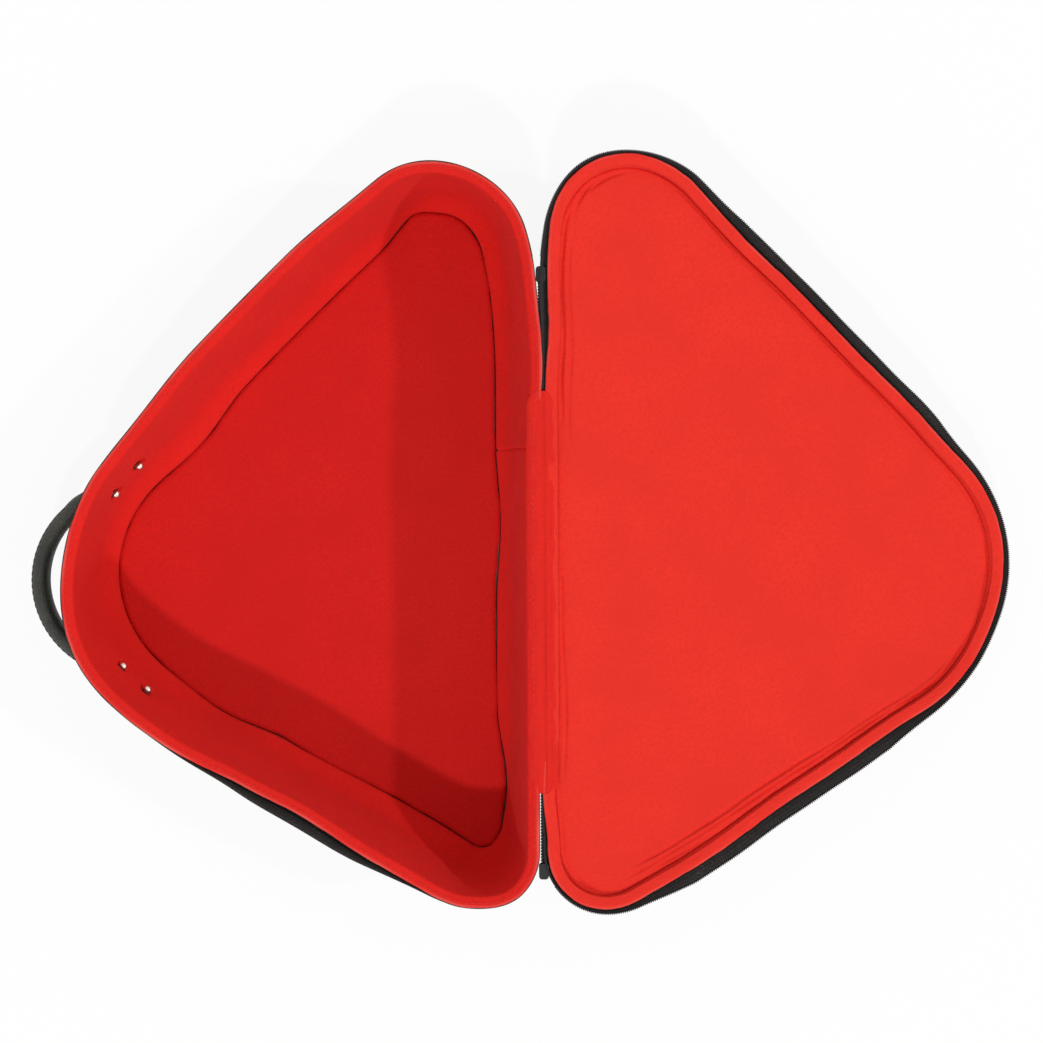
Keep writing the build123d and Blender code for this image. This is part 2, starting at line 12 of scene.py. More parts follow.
import bpy
import numpy as np
from mathutils import Euler, Matrix, Vector

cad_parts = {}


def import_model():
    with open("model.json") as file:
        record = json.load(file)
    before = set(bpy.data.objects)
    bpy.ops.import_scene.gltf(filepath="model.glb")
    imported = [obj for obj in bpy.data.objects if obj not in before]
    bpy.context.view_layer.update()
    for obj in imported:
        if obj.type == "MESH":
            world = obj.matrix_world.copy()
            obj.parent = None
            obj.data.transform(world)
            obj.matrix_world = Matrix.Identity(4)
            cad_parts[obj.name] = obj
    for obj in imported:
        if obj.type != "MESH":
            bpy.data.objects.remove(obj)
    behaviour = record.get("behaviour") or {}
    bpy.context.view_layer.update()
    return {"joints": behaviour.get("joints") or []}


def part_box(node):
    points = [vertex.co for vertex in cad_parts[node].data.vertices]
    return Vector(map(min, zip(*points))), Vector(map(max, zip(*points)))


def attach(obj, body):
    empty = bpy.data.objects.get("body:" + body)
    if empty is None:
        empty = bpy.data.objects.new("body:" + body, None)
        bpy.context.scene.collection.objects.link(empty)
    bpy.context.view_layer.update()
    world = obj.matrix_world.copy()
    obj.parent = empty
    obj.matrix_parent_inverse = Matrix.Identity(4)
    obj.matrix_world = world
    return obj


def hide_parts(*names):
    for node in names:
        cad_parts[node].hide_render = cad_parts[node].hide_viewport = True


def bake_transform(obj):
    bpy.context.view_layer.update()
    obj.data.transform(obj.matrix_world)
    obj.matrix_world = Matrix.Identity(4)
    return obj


LOG = logging.getLogger("hat_case")
MM = 0.001
PHOTO_SIDE = 1043
SENSOR = 36.0
CROSSING_WAVES = 7

Array = np.ndarray
Piece = bpy.types.Object
Material = bpy.types.Material
Socket = bpy.types.NodeSocket
Rgb = tuple[float, float, float]
Profile = list[tuple]
Place = tuple[float, float, float, float]

WHITE: Rgb = (1.0, 1.0, 1.0)


class Slot(Enum):
    """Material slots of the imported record."""

    OUTER = "outer_cloth"
    LINING = "lining_cloth"
    BOARD = "stiff_board"
    FOAM = "foam"
    TAPE = "zip_tape"
    COIL = "zip_coil"
    PIPING = "piping_cord"
    LEATHER = "handle_leather"
    NICKEL = "nickel"


class Weave(Enum):
    """How a cloth's threads cross."""

    PLAIN = "plain"
    RIBBED = "ribbed"


def srgb(*channels: int) -> Rgb:
    """Linear colour of an 8-bit screen colour."""
    shares = (value / 255 for value in channels)
    return tuple(
        share / 12.92 if share <= 0.04045 else ((share + 0.055) / 1.055) ** 2.4 for share in shares
    )


def shade(colour: Rgb, factor: float) -> Rgb:
    """The colour, darker or lighter by a factor."""
    return tuple(value * factor for value in colour)


def ripple(u: Array, v: Array | float, size: float, seed: int) -> Array:
    """Smooth unevenness between about -1 and 1, from a few crossing waves.

    Args:
        u: First coordinate of each point, in metres.
        v: Second coordinate, one for all points or one for each.
        size: Length of a wave, in metres.
        seed: Picks the waves' directions and phases.

    Returns:
        One value for each point.
    """
    rng = np.random.default_rng(seed)
    total = np.zeros(np.broadcast(u, v).shape)
    for _ in range(CROSSING_WAVES):
        angle, phase, stretch = rng.uniform(0, math.tau), rng.uniform(0, math.tau), rng.uniform(0.7, 1.6)
        reach = math.tau / (size * stretch)
        total = total + np.sin(reach * (u * math.cos(angle) + v * math.sin(angle)) + phase)
    return total / CROSSING_WAVES**0.5 / 1.4


def window(values: Array | float, start: float, end: float, fade: float) -> Array:
    """1 between start and end, with a smooth fade to 0 inside both ends."""
    rise, fall = np.clip((values - start) / fade, 0, 1), np.clip((end - values) / fade, 0, 1)
    return rise * rise * (3 - 2 * rise) * fall * fall * (3 - 2 * fall)


def hill(distance: Array | float, width: float, power: float = 2.0) -> Array:
    """1 where the distance is 0, falling off over a width."""
    return np.exp(-((distance / width) ** power))


@dataclass(frozen=True)
class Arc:
    """Circle on which a stretch of the outline lies."""

    x: float
    y: float
    radius: float


@dataclass(frozen=True)
class Stations:
    """Points along the rim outline with their outward directions and distances along it."""

    x: Array
    y: Array
    out_x: Array
    out_y: Array
    s: Array
    closed: bool

    def moved(self, inwards: Array) -> Stations:
        """The same stations, each moved inwards by its own distance."""
        x, y = self.x - self.out_x * inwards, self.y - self.out_y * inwards
        return Stations(x, y, self.out_x, self.out_y, self.s, self.closed)

    def at(self, depth: Array | float, z: Array | float) -> Array:
        """One point for each station, at a depth inside the outline and at a height."""
        depth, z = np.broadcast_to(depth, self.x.shape), np.broadcast_to(z, self.x.shape)
        return np.stack([self.x - self.out_x * depth, self.y - self.out_y * depth, z], axis=1)


@dataclass(frozen=True)
class CaseOutline:
    """Rim outline of base and lid: arcs round three corners, joined by gently bowed sides."""

    hinge_side: float = 153.0 * MM
    top_corner: Arc = Arc(91.0 * MM, 183.0 * MM, 57.5 * MM)
    apex_corner: Arc = Arc(-45.0 * MM, -26.5 * MM, 108.0 * MM)
    bottom_corner: Arc = Arc(114.0 * MM, -201.5 * MM, 39.0 * MM)
    shoulder_radius: float = 250.0 * MM
    upper_radius: float = 2160.0 * MM
    lower_radius: float = 15400.0 * MM

    def side_arc(self, first: Arc, second: Arc, radius: float) -> Arc:
        """Large arc that touches two corner arcs from outside.

        Args:
            first: Corner where the side starts.
            second: Corner where it ends.
            radius: Radius of the side.

        Returns:
            The arc on which the side lies.
        """
        reach, other = radius - first.radius, radius - second.radius
        span_x, span_y = second.x - first.x, second.y - first.y
        span = math.hypot(span_x, span_y)
        along = (reach**2 - other**2 + span**2) / (2 * span)
        across = math.sqrt(reach**2 - along**2)
        x = first.x + (span_x * along - span_y * across) / span
        y = first.y + (span_y * along + span_x * across) / span
        return Arc(x, y, radius)

    def shoulder(self) -> Arc:
        """Arc that leads the straight hinge side into the top corner."""
        x = self.hinge_side - self.shoulder_radius
        reach = self.shoulder_radius - self.top_corner.radius
        y = self.top_corner.y - math.sqrt(reach**2 - (self.top_corner.x - x) ** 2)
        return Arc(x, y, self.shoulder_radius)

    def stretches(self) -> list[tuple[Arc, float, float]]:
        """Arcs with their end angles, anticlockwise from the hinge side's upper end."""
        upper = self.side_arc(self.top_corner, self.apex_corner, self.upper_radius)
        lower = self.side_arc(self.apex_corner, self.bottom_corner, self.lower_radius)
        chain = [self.shoulder(), self.top_corner, upper, self.apex_corner, lower, self.bottom_corner]
        angles = [0.0]
        for first, second in zip(chain, chain[1:]):
            large, small = (first, second) if first.radius > second.radius else (second, first)
            angles.append(math.atan2(small.y - large.y, small.x - large.x) % math.tau)
        angles.append(math.tau)
        return list(zip(chain, angles, angles[1:]))

    def length(self) -> float:
        """Length once round the outline."""
        arcs = sum(arc.radius * (end - start) for arc, start, end in self.stretches())
        return arcs + self.shoulder().y - self.bottom_corner.y

    def locate(self, s: float) -> Place:
        """Point and outward direction at a distance along the outline.

        Args:
            s: Distance from the hinge side's upper end.

        Returns:
            x, y and the two parts of the outward direction.
        """
        left = s % self.length()
        for arc, start, end in self.stretches():
            reach = arc.radius * (end - start)
            if left <= reach:
                angle = start + left / arc.radius
                cos, sin = math.cos(angle), math.sin(angle)
                return (arc.x + arc.radius * cos, arc.y + arc.radius * sin, cos, sin)
            left -= reach
        return (self.hinge_side, self.bottom_corner.y + left, 1.0, 0.0)

    def at_hinge(self, y: float) -> float:
        """Distance along the outline of a place on the straight hinge side."""
        return self.length() - (self.shoulder().y - y)

    def free_sides(self, start_y: float, end_y: float) -> tuple[float, float]:
        """Distances from one place on the hinge side, round the free sides, to another."""
        return (self.at_hinge(start_y) - self.length(), self.at_hinge(end_y))

    def stations(self, start: float, end: float, spacing: float, fine: Sequence[tuple] = ()) -> Stations:
        """Evenly spaced stations between two distances, closer together where asked.

        Args:
            start: Distance where the first station is.
            end: Distance where the last one is; a whole turn later closes the ring.
            spacing: Distance between stations.
            fine: Places that need more stations, each a distance, a reach and a spacing.

        Returns:
            The stations.
        """
        closed = abs(end - start - self.length()) < 1e-9
        places = np.linspace(start, end, max(2, round((end - start) / spacing)) + 1)
        for place, reach, step in fine:
            places = places[(places < place - reach) | (places > place + reach)]
            places = np.append(places, np.arange(place - reach + step / 2, place + reach, step))
        places = np.unique(np.round(places[:-1] if closed and not fine else places, 7))
        places = places[(places >= start) & (places < end - 1e-5 if closed else places <= end)]
        return Stations(*np.array([self.locate(place) for place in places]).T, places, closed)

    def ring(self, spacing: float, fine: Sequence[tuple] = ()) -> Stations:
        """Stations once round the whole outline."""
        return self.stations(0.0, self.length(), spacing, fine)


OUTLINE = CaseOutline()
OUTLINE_LENGTH = OUTLINE.length()


@dataclass(frozen=True)
class Bow:
    """A soft outward or inward bow of a stretch of the rim; above 1, full flattens its top."""

    start: float
    end: float
    reach: float
    full: float = 1.0

    def at(self, s: Array) -> Array:
        """How far the rim stands out at each distance along the outline."""
        span = (self.end - self.start) % OUTLINE_LENGTH
        along = np.clip(((s - self.start) % OUTLINE_LENGTH) / span, 0, 1)
        return self.reach * np.clip(self.full * np.sin(np.pi * along) ** 2, 0, 1)


def bow(start: float, end: float, reach: float, full: float = 1.0) -> Bow:
    """A bow whose sizes are given in millimetres."""
    return Bow(start * MM, end * MM, reach * MM, full)


def bowed(bows: Sequence[Bow], s: Array) -> Array:
    """Sum of several bows at each distance along the outline."""
    return sum((each.at(s) for each in bows), np.zeros_like(s))


BASE_BOWS = (bow(-95, 25, 3.5), bow(25, 185, -4.6), bow(168, 330, 4.2), bow(250, 410, 4.2))
BASE_BOWS += (bow(395, 570, -4.8), bow(595, 695, 3.2), bow(688, 785, -2.2), bow(830, 898, -3.0))
FLOOR_BOWS = (bow(-40, 150, 3.6), bow(130, 205, -4.0), bow(330, 430, 4.5), bow(605, 705, -5.0))
FLOOR_BOWS += (bow(705, 900, 3.4), bow(905, 1010, -6.2), bow(1080, 1190, -3.0))
LID_BOWS = (bow(-50, 40, -2.5), bow(20, 165, 5.4), bow(120, 275, -2.6), bow(165, 320, -4.0))
LID_BOWS += (bow(240, 395, -3.8), bow(395, 560, 4.0), bow(590, 690, -1.2))
LID_BOWS += (bow(725, 865, 2.7), bow(925, 1010, 3.0))
BASE_TAPE_LEAN = bow(625, 850, 7.4)
LID_TAPE_LEANS = (bow(120, 490, 4.5, 2.0), bow(572, 885, 6.6, 2.0), bow(-70, 90, 2.6), bow(420, 640, 1.8))


@dataclass(frozen=True)
class Crease:
    """A wrinkle that runs along the outline: a ridge if its height is positive, else a groove."""

    start: float
    end: float
    depth: float
    depth_end: float
    width: float
    height: float
    wander: float
    seed: int

    def lift(self, s: Array, depth: float) -> Array:
        """How far the cloth stands up at each distance along the outline, at one depth inside it."""
        reach = (self.end - self.start) % OUTLINE_LENGTH
        along = (s - self.start) % OUTLINE_LENGTH
        middle = self.depth + (self.depth_end - self.depth) * np.clip(along / reach, 0, 1)
        middle = middle + self.wander * ripple(along, 0.0, 0.05, self.seed)
        fade = window(along, 0.0, reach, min(0.02, reach * 0.4))
        strength = 0.75 + 0.25 * ripple(along, 0.0, 0.03, self.seed + 1)
        return self.height * fade * strength * hill(depth - middle, self.width)


def creases(*rows: tuple[float, ...]) -> list[Crease]:
    """Creases from rows of a seed and the seven sizes in millimetres, in the order of the fields."""
    return [Crease(*(size * MM for size in sizes), seed) for seed, *sizes in rows]


PANEL_CREASES = creases(
    (44, 550, 848, 9.6, 15.0, 1.1, -2.2, 1.0),
    (44, 570, 843, 11.6, 17.0, 1.2, 1.8, 1.0),
    (44, 620, 838, 13.6, 19.0, 1.1, -1.9, 1.0),
    (45, 775, 832, 9.4, 11.0, 0.9, -1.8, 0.8),
    (49, 862, 905, 10.2, 9.6, 1.1, -2.2, 0.8),
    (50, 60, 108, 15.5, 8.6, 1.1, -2.2, 0.8),
    (48, 84, 128, 13.0, 9.0, 1.0, -2.0, 0.8),
    (41, 1190, 75, 9.8, 9.0, 1.0, -1.6, 0.8),
    (42, 1195, 60, 13.2, 11.5, 1.3, 1.2, 0.8),
    (43, 1180, 55, 15.8, 13.4, 1.0, -1.4, 0.8),
    (46, 965, 1110, 13.0, 9.2, 1.0, -1.4, 0.8),
    (47, 150, 545, 9.8, 9.6, 0.9, -0.8, 0.8),
    (40, 900, 1000, 10.0, 10.0, 0.9, -0.5, 0.8),
)


def link_mesh(name: str, mesh: bpy.types.Mesh, place: Matrix | None) -> Piece:
    """Brings a mesh to where the piece lies and makes it an object at the origin."""
    if place is not None:
        mesh.transform(place)
    mesh.update()
    piece = bpy.data.objects.new(name, mesh)
    bpy.context.scene.collection.objects.link(piece)
    return piece


def row_lengths(rows: Array) -> Array:
    """Distance walked across the rows, as the second cloth coordinate."""
    steps = np.linalg.norm(np.diff(rows, axis=0), axis=2).mean(axis=1)
    return np.concatenate([[0.0], np.cumsum(steps)])


def path_lengths(line: Array) -> Array:
    """Distance walked along a line of points."""
    return np.r_[0, np.cumsum(np.linalg.norm(np.diff(line, axis=0), axis=1))]


@dataclass
class MeshDraft:
    """Points, faces and face-corner coordinates of a piece before it is made."""

    points: list[Array] = field(default_factory=list)
    faces: list[tuple[int, ...]] = field(default_factory=list)
    uvs: list[tuple[float, float]] = field(default_factory=list)
    count: int = 0

    def add_points(self, points: Array) -> int:
        """Adds points and returns the number of the first."""
        self.points.append(np.asarray(points, float))
        self.count += len(points)
        return self.count - len(points)

    def add_grid(
        self, rows: Array, u: Array, v: Array, round_u: bool, round_v: bool, lap: float = 0
    ) -> int:
        """Adds a grid of quads.

        Args:
            rows: Points as rows by columns.
            u: Coordinate of each column.
            v: Coordinate of each row.
            round_u: Whether the last column joins the first.
            round_v: Whether the last row joins the first.
            lap: Coordinate that the first column has when it is met again.

        Returns:
            The number of the grid's first point.
        """
        height, width = rows.shape[:2]
        first = self.add_points(rows.reshape(-1, 3))
        for k in range(height if round_v else height - 1):
            high = (k + 1) % height
            v_low, v_high = v[k], (v[high] if high else v[-1] + (v[-1] - v[-2]))
            corner, above = first + k * width, first + high * width
            for i in range(width if round_u else width - 1):
                right = (i + 1) % width
                u_low, u_high = u[i], (u[right] if right else lap)
                self.faces.append((corner + i, corner + right, above + right, above + i))
                self.uvs += [(u_low, v_low), (u_high, v_low), (u_high, v_high), (u_low, v_high)]
        return first

    def add_sleeve(self, rows: Array, along: Array, flip: bool = False) -> None:
        """Adds rows whose last joins the first, with both ends closed; flip turns the ends over."""
        first, width = self.add_grid(rows, along, row_lengths(rows), False, True), len(along)
        near = [first + k * width for k in range(len(rows))]
        self.add_end(near, flip)
        self.add_end([number + width - 1 for number in near], not flip)

    def add_fan(self, ring_first: int, width: int, centre: Sequence[float], upwards: bool) -> None:
        """Closes a ring of points with a fan to its centre.

        Args:
            ring_first: Number of the ring's first point.
            width: How many points the ring has.
            centre: The fan's middle.
            upwards: Whether an anticlockwise ring is closed with its face up.
        """
        ring = np.concatenate(self.points)[ring_first : ring_first + width]
        middle = self.add_points(np.array([centre]))
        for i in range(width):
            pair = (i, (i + 1) % width) if upwards else ((i + 1) % width, i)
            self.faces.append((ring_first + pair[0], ring_first + pair[1], middle))
            self.uvs += [tuple(ring[pair[0]][:2]), tuple(ring[pair[1]][:2]), tuple(centre[:2])]

    def add_end(self, numbers: Sequence[int], flip: bool) -> None:
        """Closes an open end with one face through the given points."""
        order = list(reversed(numbers)) if flip else list(numbers)
        points = np.concatenate(self.points)
        self.faces.append(tuple(order))
        self.uvs += [(float(points[n][0]), float(points[n][2])) for n in order]

    def make(self, name: str, place: Matrix | None = None) -> Piece:
        """Makes the object, smooth and at the origin, with its place in its mesh."""
        mesh = bpy.data.meshes.new(name)
        mesh.from_pydata(np.concatenate(self.points).tolist(), [], self.faces)
        layer = mesh.uv_layers.new(name="cloth")
        layer.data.foreach_set("uv", np.array(self.uvs, np.float32).ravel())
        mesh.polygons.foreach_set("use_smooth", [True] * len(mesh.polygons))
        return link_mesh(name, mesh, place)


def make_band(name: str, stations: Stations, profile: Profile, place: Matrix | None = None) -> Piece:
    """Makes a closed band from a profile that runs outside, over the top and back inside.

    Args:
        name: Name of the piece.
        stations: Where the band runs.
        profile: Depth and height of each row, each one value or one for each station.
        place: Turn and shift for the mesh.

    Returns:
        The band as an object.
    """
    rows = np.stack([stations.at(depth, z) for depth, z in profile])
    draft = MeshDraft()
    if stations.closed:
        lap = float(stations.s[0]) + OUTLINE_LENGTH
        draft.add_grid(rows, stations.s, row_lengths(rows), True, True, lap)
    else:
        draft.add_sleeve(rows, stations.s)
    return draft.make(name, place)


@dataclass
class Pad:
    """A pad inside the outline, with a shaped face, rolled edges and a flat back.

    Its height is called with a depth, a share of the way to the centre, the stations and the points.
    """

    stations: Stations
    height: Callable
    centre: Vector
    facing_up: bool = True
    place: Matrix | None = None

    def make(self, name: str, depths: Array, inner: int, back: Array) -> Piece:
        """Makes the pad.

        Args:
            name: Name of the piece.
            depths: Depths of the rows near the edge, from the side of the pad inwards.
            inner: How many more rows run to the centre.
            back: Points of the flat back's edge.

        Returns:
            The pad.
        """
        ring = self.stations
        flats = [(depth, 0.0, ring.at(depth, 0.0)[:, :2]) for depth in depths]
        edge, middle = flats[-1][2], np.array(self.centre[:2])
        for share in (k / (inner + 1) for k in range(1, inner + 1)):
            flats.append((depths[-1], share, edge * (1 - share) + middle * share))
        face = [np.c_[flat, self.height(depth, share, ring, flat)] for depth, share, flat in flats]
        rows = np.stack([back, *face] if self.facing_up else [*face[::-1], back])
        draft = MeshDraft()
        width, lap = len(ring.s), float(ring.s[0]) + OUTLINE_LENGTH
        first = draft.add_grid(rows, ring.s, row_lengths(rows), True, False, lap)
        tips = [(*self.centre[:2], float(row[:, 2].mean())) for row in (face[-1], back)]
        high, low = tips if self.facing_up else tips[::-1]
        draft.add_fan(first + (len(rows) - 1) * width, width, high, upwards=True)
        draft.add_fan(first, width, low, upwards=False)
        return draft.make(name, self.place)


class NodeGraph:
    """A node tree that is built from short calls."""

    prefix = ""

    def __init__(self, tree: bpy.types.NodeTree) -> None:
        """Takes over a tree and empties it."""
        self.tree = tree
        tree.nodes.clear()

    def feed(self, socket: Socket, value: object) -> None:
        """Links a socket to its source or sets its value, where a colour also gets its alpha."""
        if isinstance(value, Socket):
            self.tree.links.new(value, socket)
        else:
            socket.default_value = (*value, 1.0) if socket.type == "RGBA" else value

    def add(self, kind: str, inputs: dict | None = None, **settings: object) -> bpy.types.Node:
        """Adds a node.

        Args:
            kind: Kind of node, without the graph's prefix.
            inputs: Value or linked socket of each named or numbered input.
            settings: Attributes of the node.

        Returns:
            The node.
        """
        node = self.tree.nodes.new(self.prefix + kind)
        for key, value in settings.items():
            setattr(node, key, value)
        for key, value in (inputs or {}).items():
            self.feed(node.inputs[key], value)
        return node

    def result(self, kind: str, inputs: dict | None = None, **settings: object) -> Socket:
        """Adds a node and returns its first output."""
        return self.add(kind, inputs, **settings).outputs[0]


class ShaderGraph(NodeGraph):
    """Shader nodes of a material or of the world."""

    prefix = "ShaderNode"

    def noise(self, place: Socket, scale: float, detail: float = 3.0) -> Socket:
        """Noise value at a scale per metre."""
        return self.add("TexNoise", {"Vector": place, "Scale": scale, "Detail": detail}).outputs["Fac"]

    def waves(self, place: Socket, pitch: float, direction: str) -> Socket:
        """Even ridges across one coordinate, a pitch apart in metres."""
        inputs = {"Vector": place, "Scale": math.tau / 20 / pitch, "Distortion": 0.0}
        return self.add("TexWave", inputs, bands_direction=direction).outputs["Fac"]

    def math(self, operation: str, first: object, second: object) -> Socket:
        """Result of one sum on two values."""
        return self.result("Math", {0: first, 1: second}, operation=operation)

    def mix(self, share: object, first: object, second: object) -> Socket:
        """Mix of two colours, each a socket or linear values."""
        return self.add("Mix", {0: share, 6: first, 7: second}, data_type="RGBA").outputs[2]

    def ramp(self, value: Socket, low: float, high: float) -> Socket:
        """The value stretched so that low becomes 0 and high becomes 1."""
        return self.result("MapRange", {"Value": value, "From Min": low, "From Max": high})

    def bump(self, height: Socket, distance: float, before: Socket | None = None) -> Socket:
        """Bump from a height, over another bump where one is given."""
        inputs = {"Height": height, "Distance": distance, "Strength": 1.0}
        return self.result("Bump", inputs | ({} if before is None else {"Normal": before}))

    def seen_directly(self) -> Socket:
        """1 for rays from the camera, and for those seen in metal or through glass."""
        path = self.add("LightPath").outputs
        seen = self.math("MAXIMUM", path["Is Camera Ray"], path["Is Glossy Ray"])
        return self.math("MAXIMUM", seen, path["Is Transmission Ray"])

    def close(self, kind: str, share: Socket, first: Socket, second: Socket) -> None:
        """Mixes two shaders into the graph's output, which is of the given kind."""
        self.add(kind, {"Surface": self.result("MixShader", {0: share, 1: first, 2: second})})


class MaterialGraph(ShaderGraph):
    """A material's nodes."""

    def __init__(self, name: str) -> None:
        """Starts an empty material of that name, with the object's own coordinates."""
        self.material = bpy.data.materials.new(name)
        self.material.use_nodes = True
        super().__init__(self.material.node_tree)
        self.place = self.add("TexCoord").outputs["Object"]

    def finish(self, colour: Socket, roughness: object, normal: Socket, **constants: float) -> Material:
        """Adds the shader and its output.

        Args:
            colour: Colour socket.
            roughness: Value or socket.
            normal: Bump socket.
            constants: Other inputs of the shader, named with underscores for spaces.

        Returns:
            The material.
        """
        values = {"Base Color": colour, "Roughness": roughness, "Normal": normal}
        values |= {key.replace("_", " "): value for key, value in constants.items()}
        self.add("OutputMaterial", {"Surface": self.result("BsdfPrincipled", values)})
        return self.material


@dataclass(frozen=True)
class NappedCloth:
    """Brushed red lining cloth with a short nap."""

    colour: Rgb = srgb(232, 52, 42)
    # Pale pink of the rims' outer edges: mostly a painted highlight where light catches the rolled cloth,
    # with some wear.
    worn_and_lit: Rgb = srgb(222, 108, 98)
    nap_scale: float = 1400.0
    blotch_scale: float = 26.0
    nap_height: float = 0.00022

    def build(self, name: str) -> Material:
        """Material of the cloth, pale pink where the piece's edge attribute is high: a painted highlight,
        with some wear, on the rims.
        """
        graph = MaterialGraph(name)
        blotch = graph.noise(graph.place, self.blotch_scale, 4.0)
        nap = graph.noise(graph.place, self.nap_scale, 2.0)
        fibre = graph.noise(graph.place, self.nap_scale * 0.33, 5.0)
        tint = graph.mix(graph.ramp(blotch, 0.3, 0.7), shade(self.colour, 0.93), shade(self.colour, 1.04))
        tint = graph.mix(graph.ramp(fibre, 0.35, 0.75), tint, shade(self.colour, 0.9))
        tint = graph.mix(graph.add("Attribute", attribute_name="wear_and_highlight").outputs["Fac"], tint, self.worn_and_lit)
        normal = graph.bump(nap, self.nap_height, graph.bump(fibre, self.nap_height * 2))
        constants = {"Sheen_Weight": 0.02, "Sheen_Roughness": 0.5, "Specular_IOR_Level": 0.06}
        return graph.finish(tint, 0.95, normal, **constants)


@dataclass(frozen=True)
class BlackCloth:
    """Woven black cloth, plain or ribbed, with dusty speckles."""

    colour: Rgb = srgb(44, 41, 42)
    dust: Rgb = srgb(92, 84, 84)
    pitch: float = 0.0011
    weave: Weave = Weave.PLAIN
    flat: bool = False
    thread_height: float = 0.00025

    def build(self, name: str) -> Material:
        """Material of the cloth; flat covers read Object coordinates and bands their own UV."""
        graph = MaterialGraph(name)
        cloth = graph.place if self.flat else graph.add("TexCoord").outputs["UV"]
        warp = graph.waves(cloth, self.pitch, "X")
        weft = graph.waves(cloth, self.pitch * (1.0 if self.weave is Weave.PLAIN else 2.4), "Y")
        threads = graph.math("MULTIPLY", warp, weft)
        if self.weave is Weave.PLAIN:
            low_warp, low_weft = (graph.math("SUBTRACT", 1.0, thread) for thread in (warp, weft))
            threads = graph.math("MAXIMUM", threads, graph.math("MULTIPLY", low_warp, low_weft))
        speckle, patch = graph.noise(graph.place, 1100.0), graph.noise(graph.place, 30.0)
        tint = graph.mix(graph.ramp(threads, 0.1, 0.9), shade(self.colour, 0.55), self.colour)
        dusty = graph.math("MULTIPLY", graph.ramp(speckle, 0.5, 0.72), graph.ramp(patch, 0.25, 0.8))
        normal = graph.bump(threads, self.thread_height, graph.bump(speckle, 0.0001))
        tint = graph.mix(dusty, tint, self.dust)
        return graph.finish(tint, 0.85, normal, Sheen_Weight=0.08, Specular_IOR_Level=0.25)


@dataclass(frozen=True)
class Leatherette:
    """Grained black handle covering with a dull olive bloom where it is handled."""

    colour: Rgb = srgb(58, 57, 53)
    bloom: Rgb = srgb(84, 83, 74)
    grain: float = 850.0

    def build(self, name: str) -> Material:
        """Material of the covering."""
        graph = MaterialGraph(name)
        cells = graph.result(
            "TexVoronoi", {"Vector": graph.place, "Scale": self.grain}, feature="DISTANCE_TO_EDGE"
        )
        pores = graph.ramp(cells, 0.0, 0.18)
        patch = graph.noise(graph.place, 45.0, 4.0)
        tint = graph.mix(graph.ramp(patch, 0.35, 0.65), self.colour, self.bloom)
        tint = graph.mix(pores, shade(self.colour, 0.55), tint)
        normal = graph.bump(pores, 0.00018, graph.bump(graph.noise(graph.place, 260.0), 0.0004))
        return graph.finish(tint, graph.ramp(patch, -1.2, 2.2), normal, Specular_IOR_Level=0.4)


@dataclass(frozen=True)
class Metal:
    """Plated or painted metal with fine scratches."""

    colour: Rgb
    metallic: float
    roughness: float

    def build(self, name: str) -> Material:
        """Material of the metal."""
        graph = MaterialGraph(name)
        scratch, tarnish = graph.noise(graph.place, 2200.0, 4.0), graph.noise(graph.place, 300.0, 4.0)
        tint = graph.mix(graph.ramp(tarnish, 0.4, 0.75), self.colour, shade(self.colour, 0.72))
        ends = {"To Min": self.roughness * 0.7, "To Max": self.roughness * 1.4}
        rough = graph.result("MapRange", {"Value": tarnish} | ends)
        return graph.finish(tint, rough, graph.bump(scratch, 0.00002), Metallic=self.metallic)


@dataclass(frozen=True)
class Nylon:
    """Moulded or spun nylon, with a soft gloss."""

    colour: Rgb = srgb(34, 33, 34)
    roughness: float = 0.42

    def build(self, name: str) -> Material:
        """Material of the nylon."""
        graph = MaterialGraph(name)
        cloud = graph.noise(graph.place, 500.0)
        tint = graph.mix(cloud, shade(self.colour, 0.7), shade(self.colour, 1.5))
        return graph.finish(tint, self.roughness, graph.bump(cloud, 0.00005))


@dataclass(frozen=True)
class Pulp:
    """Grey fibre board or light foam, told apart by colour and the size of their grain."""

    colour: Rgb
    grain: float

    def build(self, name: str) -> Material:
        """Material of the board or foam."""
        graph = MaterialGraph(name)
        grain = graph.noise(graph.place, self.grain, 5.0)
        tint = graph.mix(graph.ramp(grain, 0.3, 0.7), shade(self.colour, 0.8), shade(self.colour, 1.12))
        return graph.finish(tint, 0.95, graph.bump(grain, 0.0002), Specular_IOR_Level=0.2)


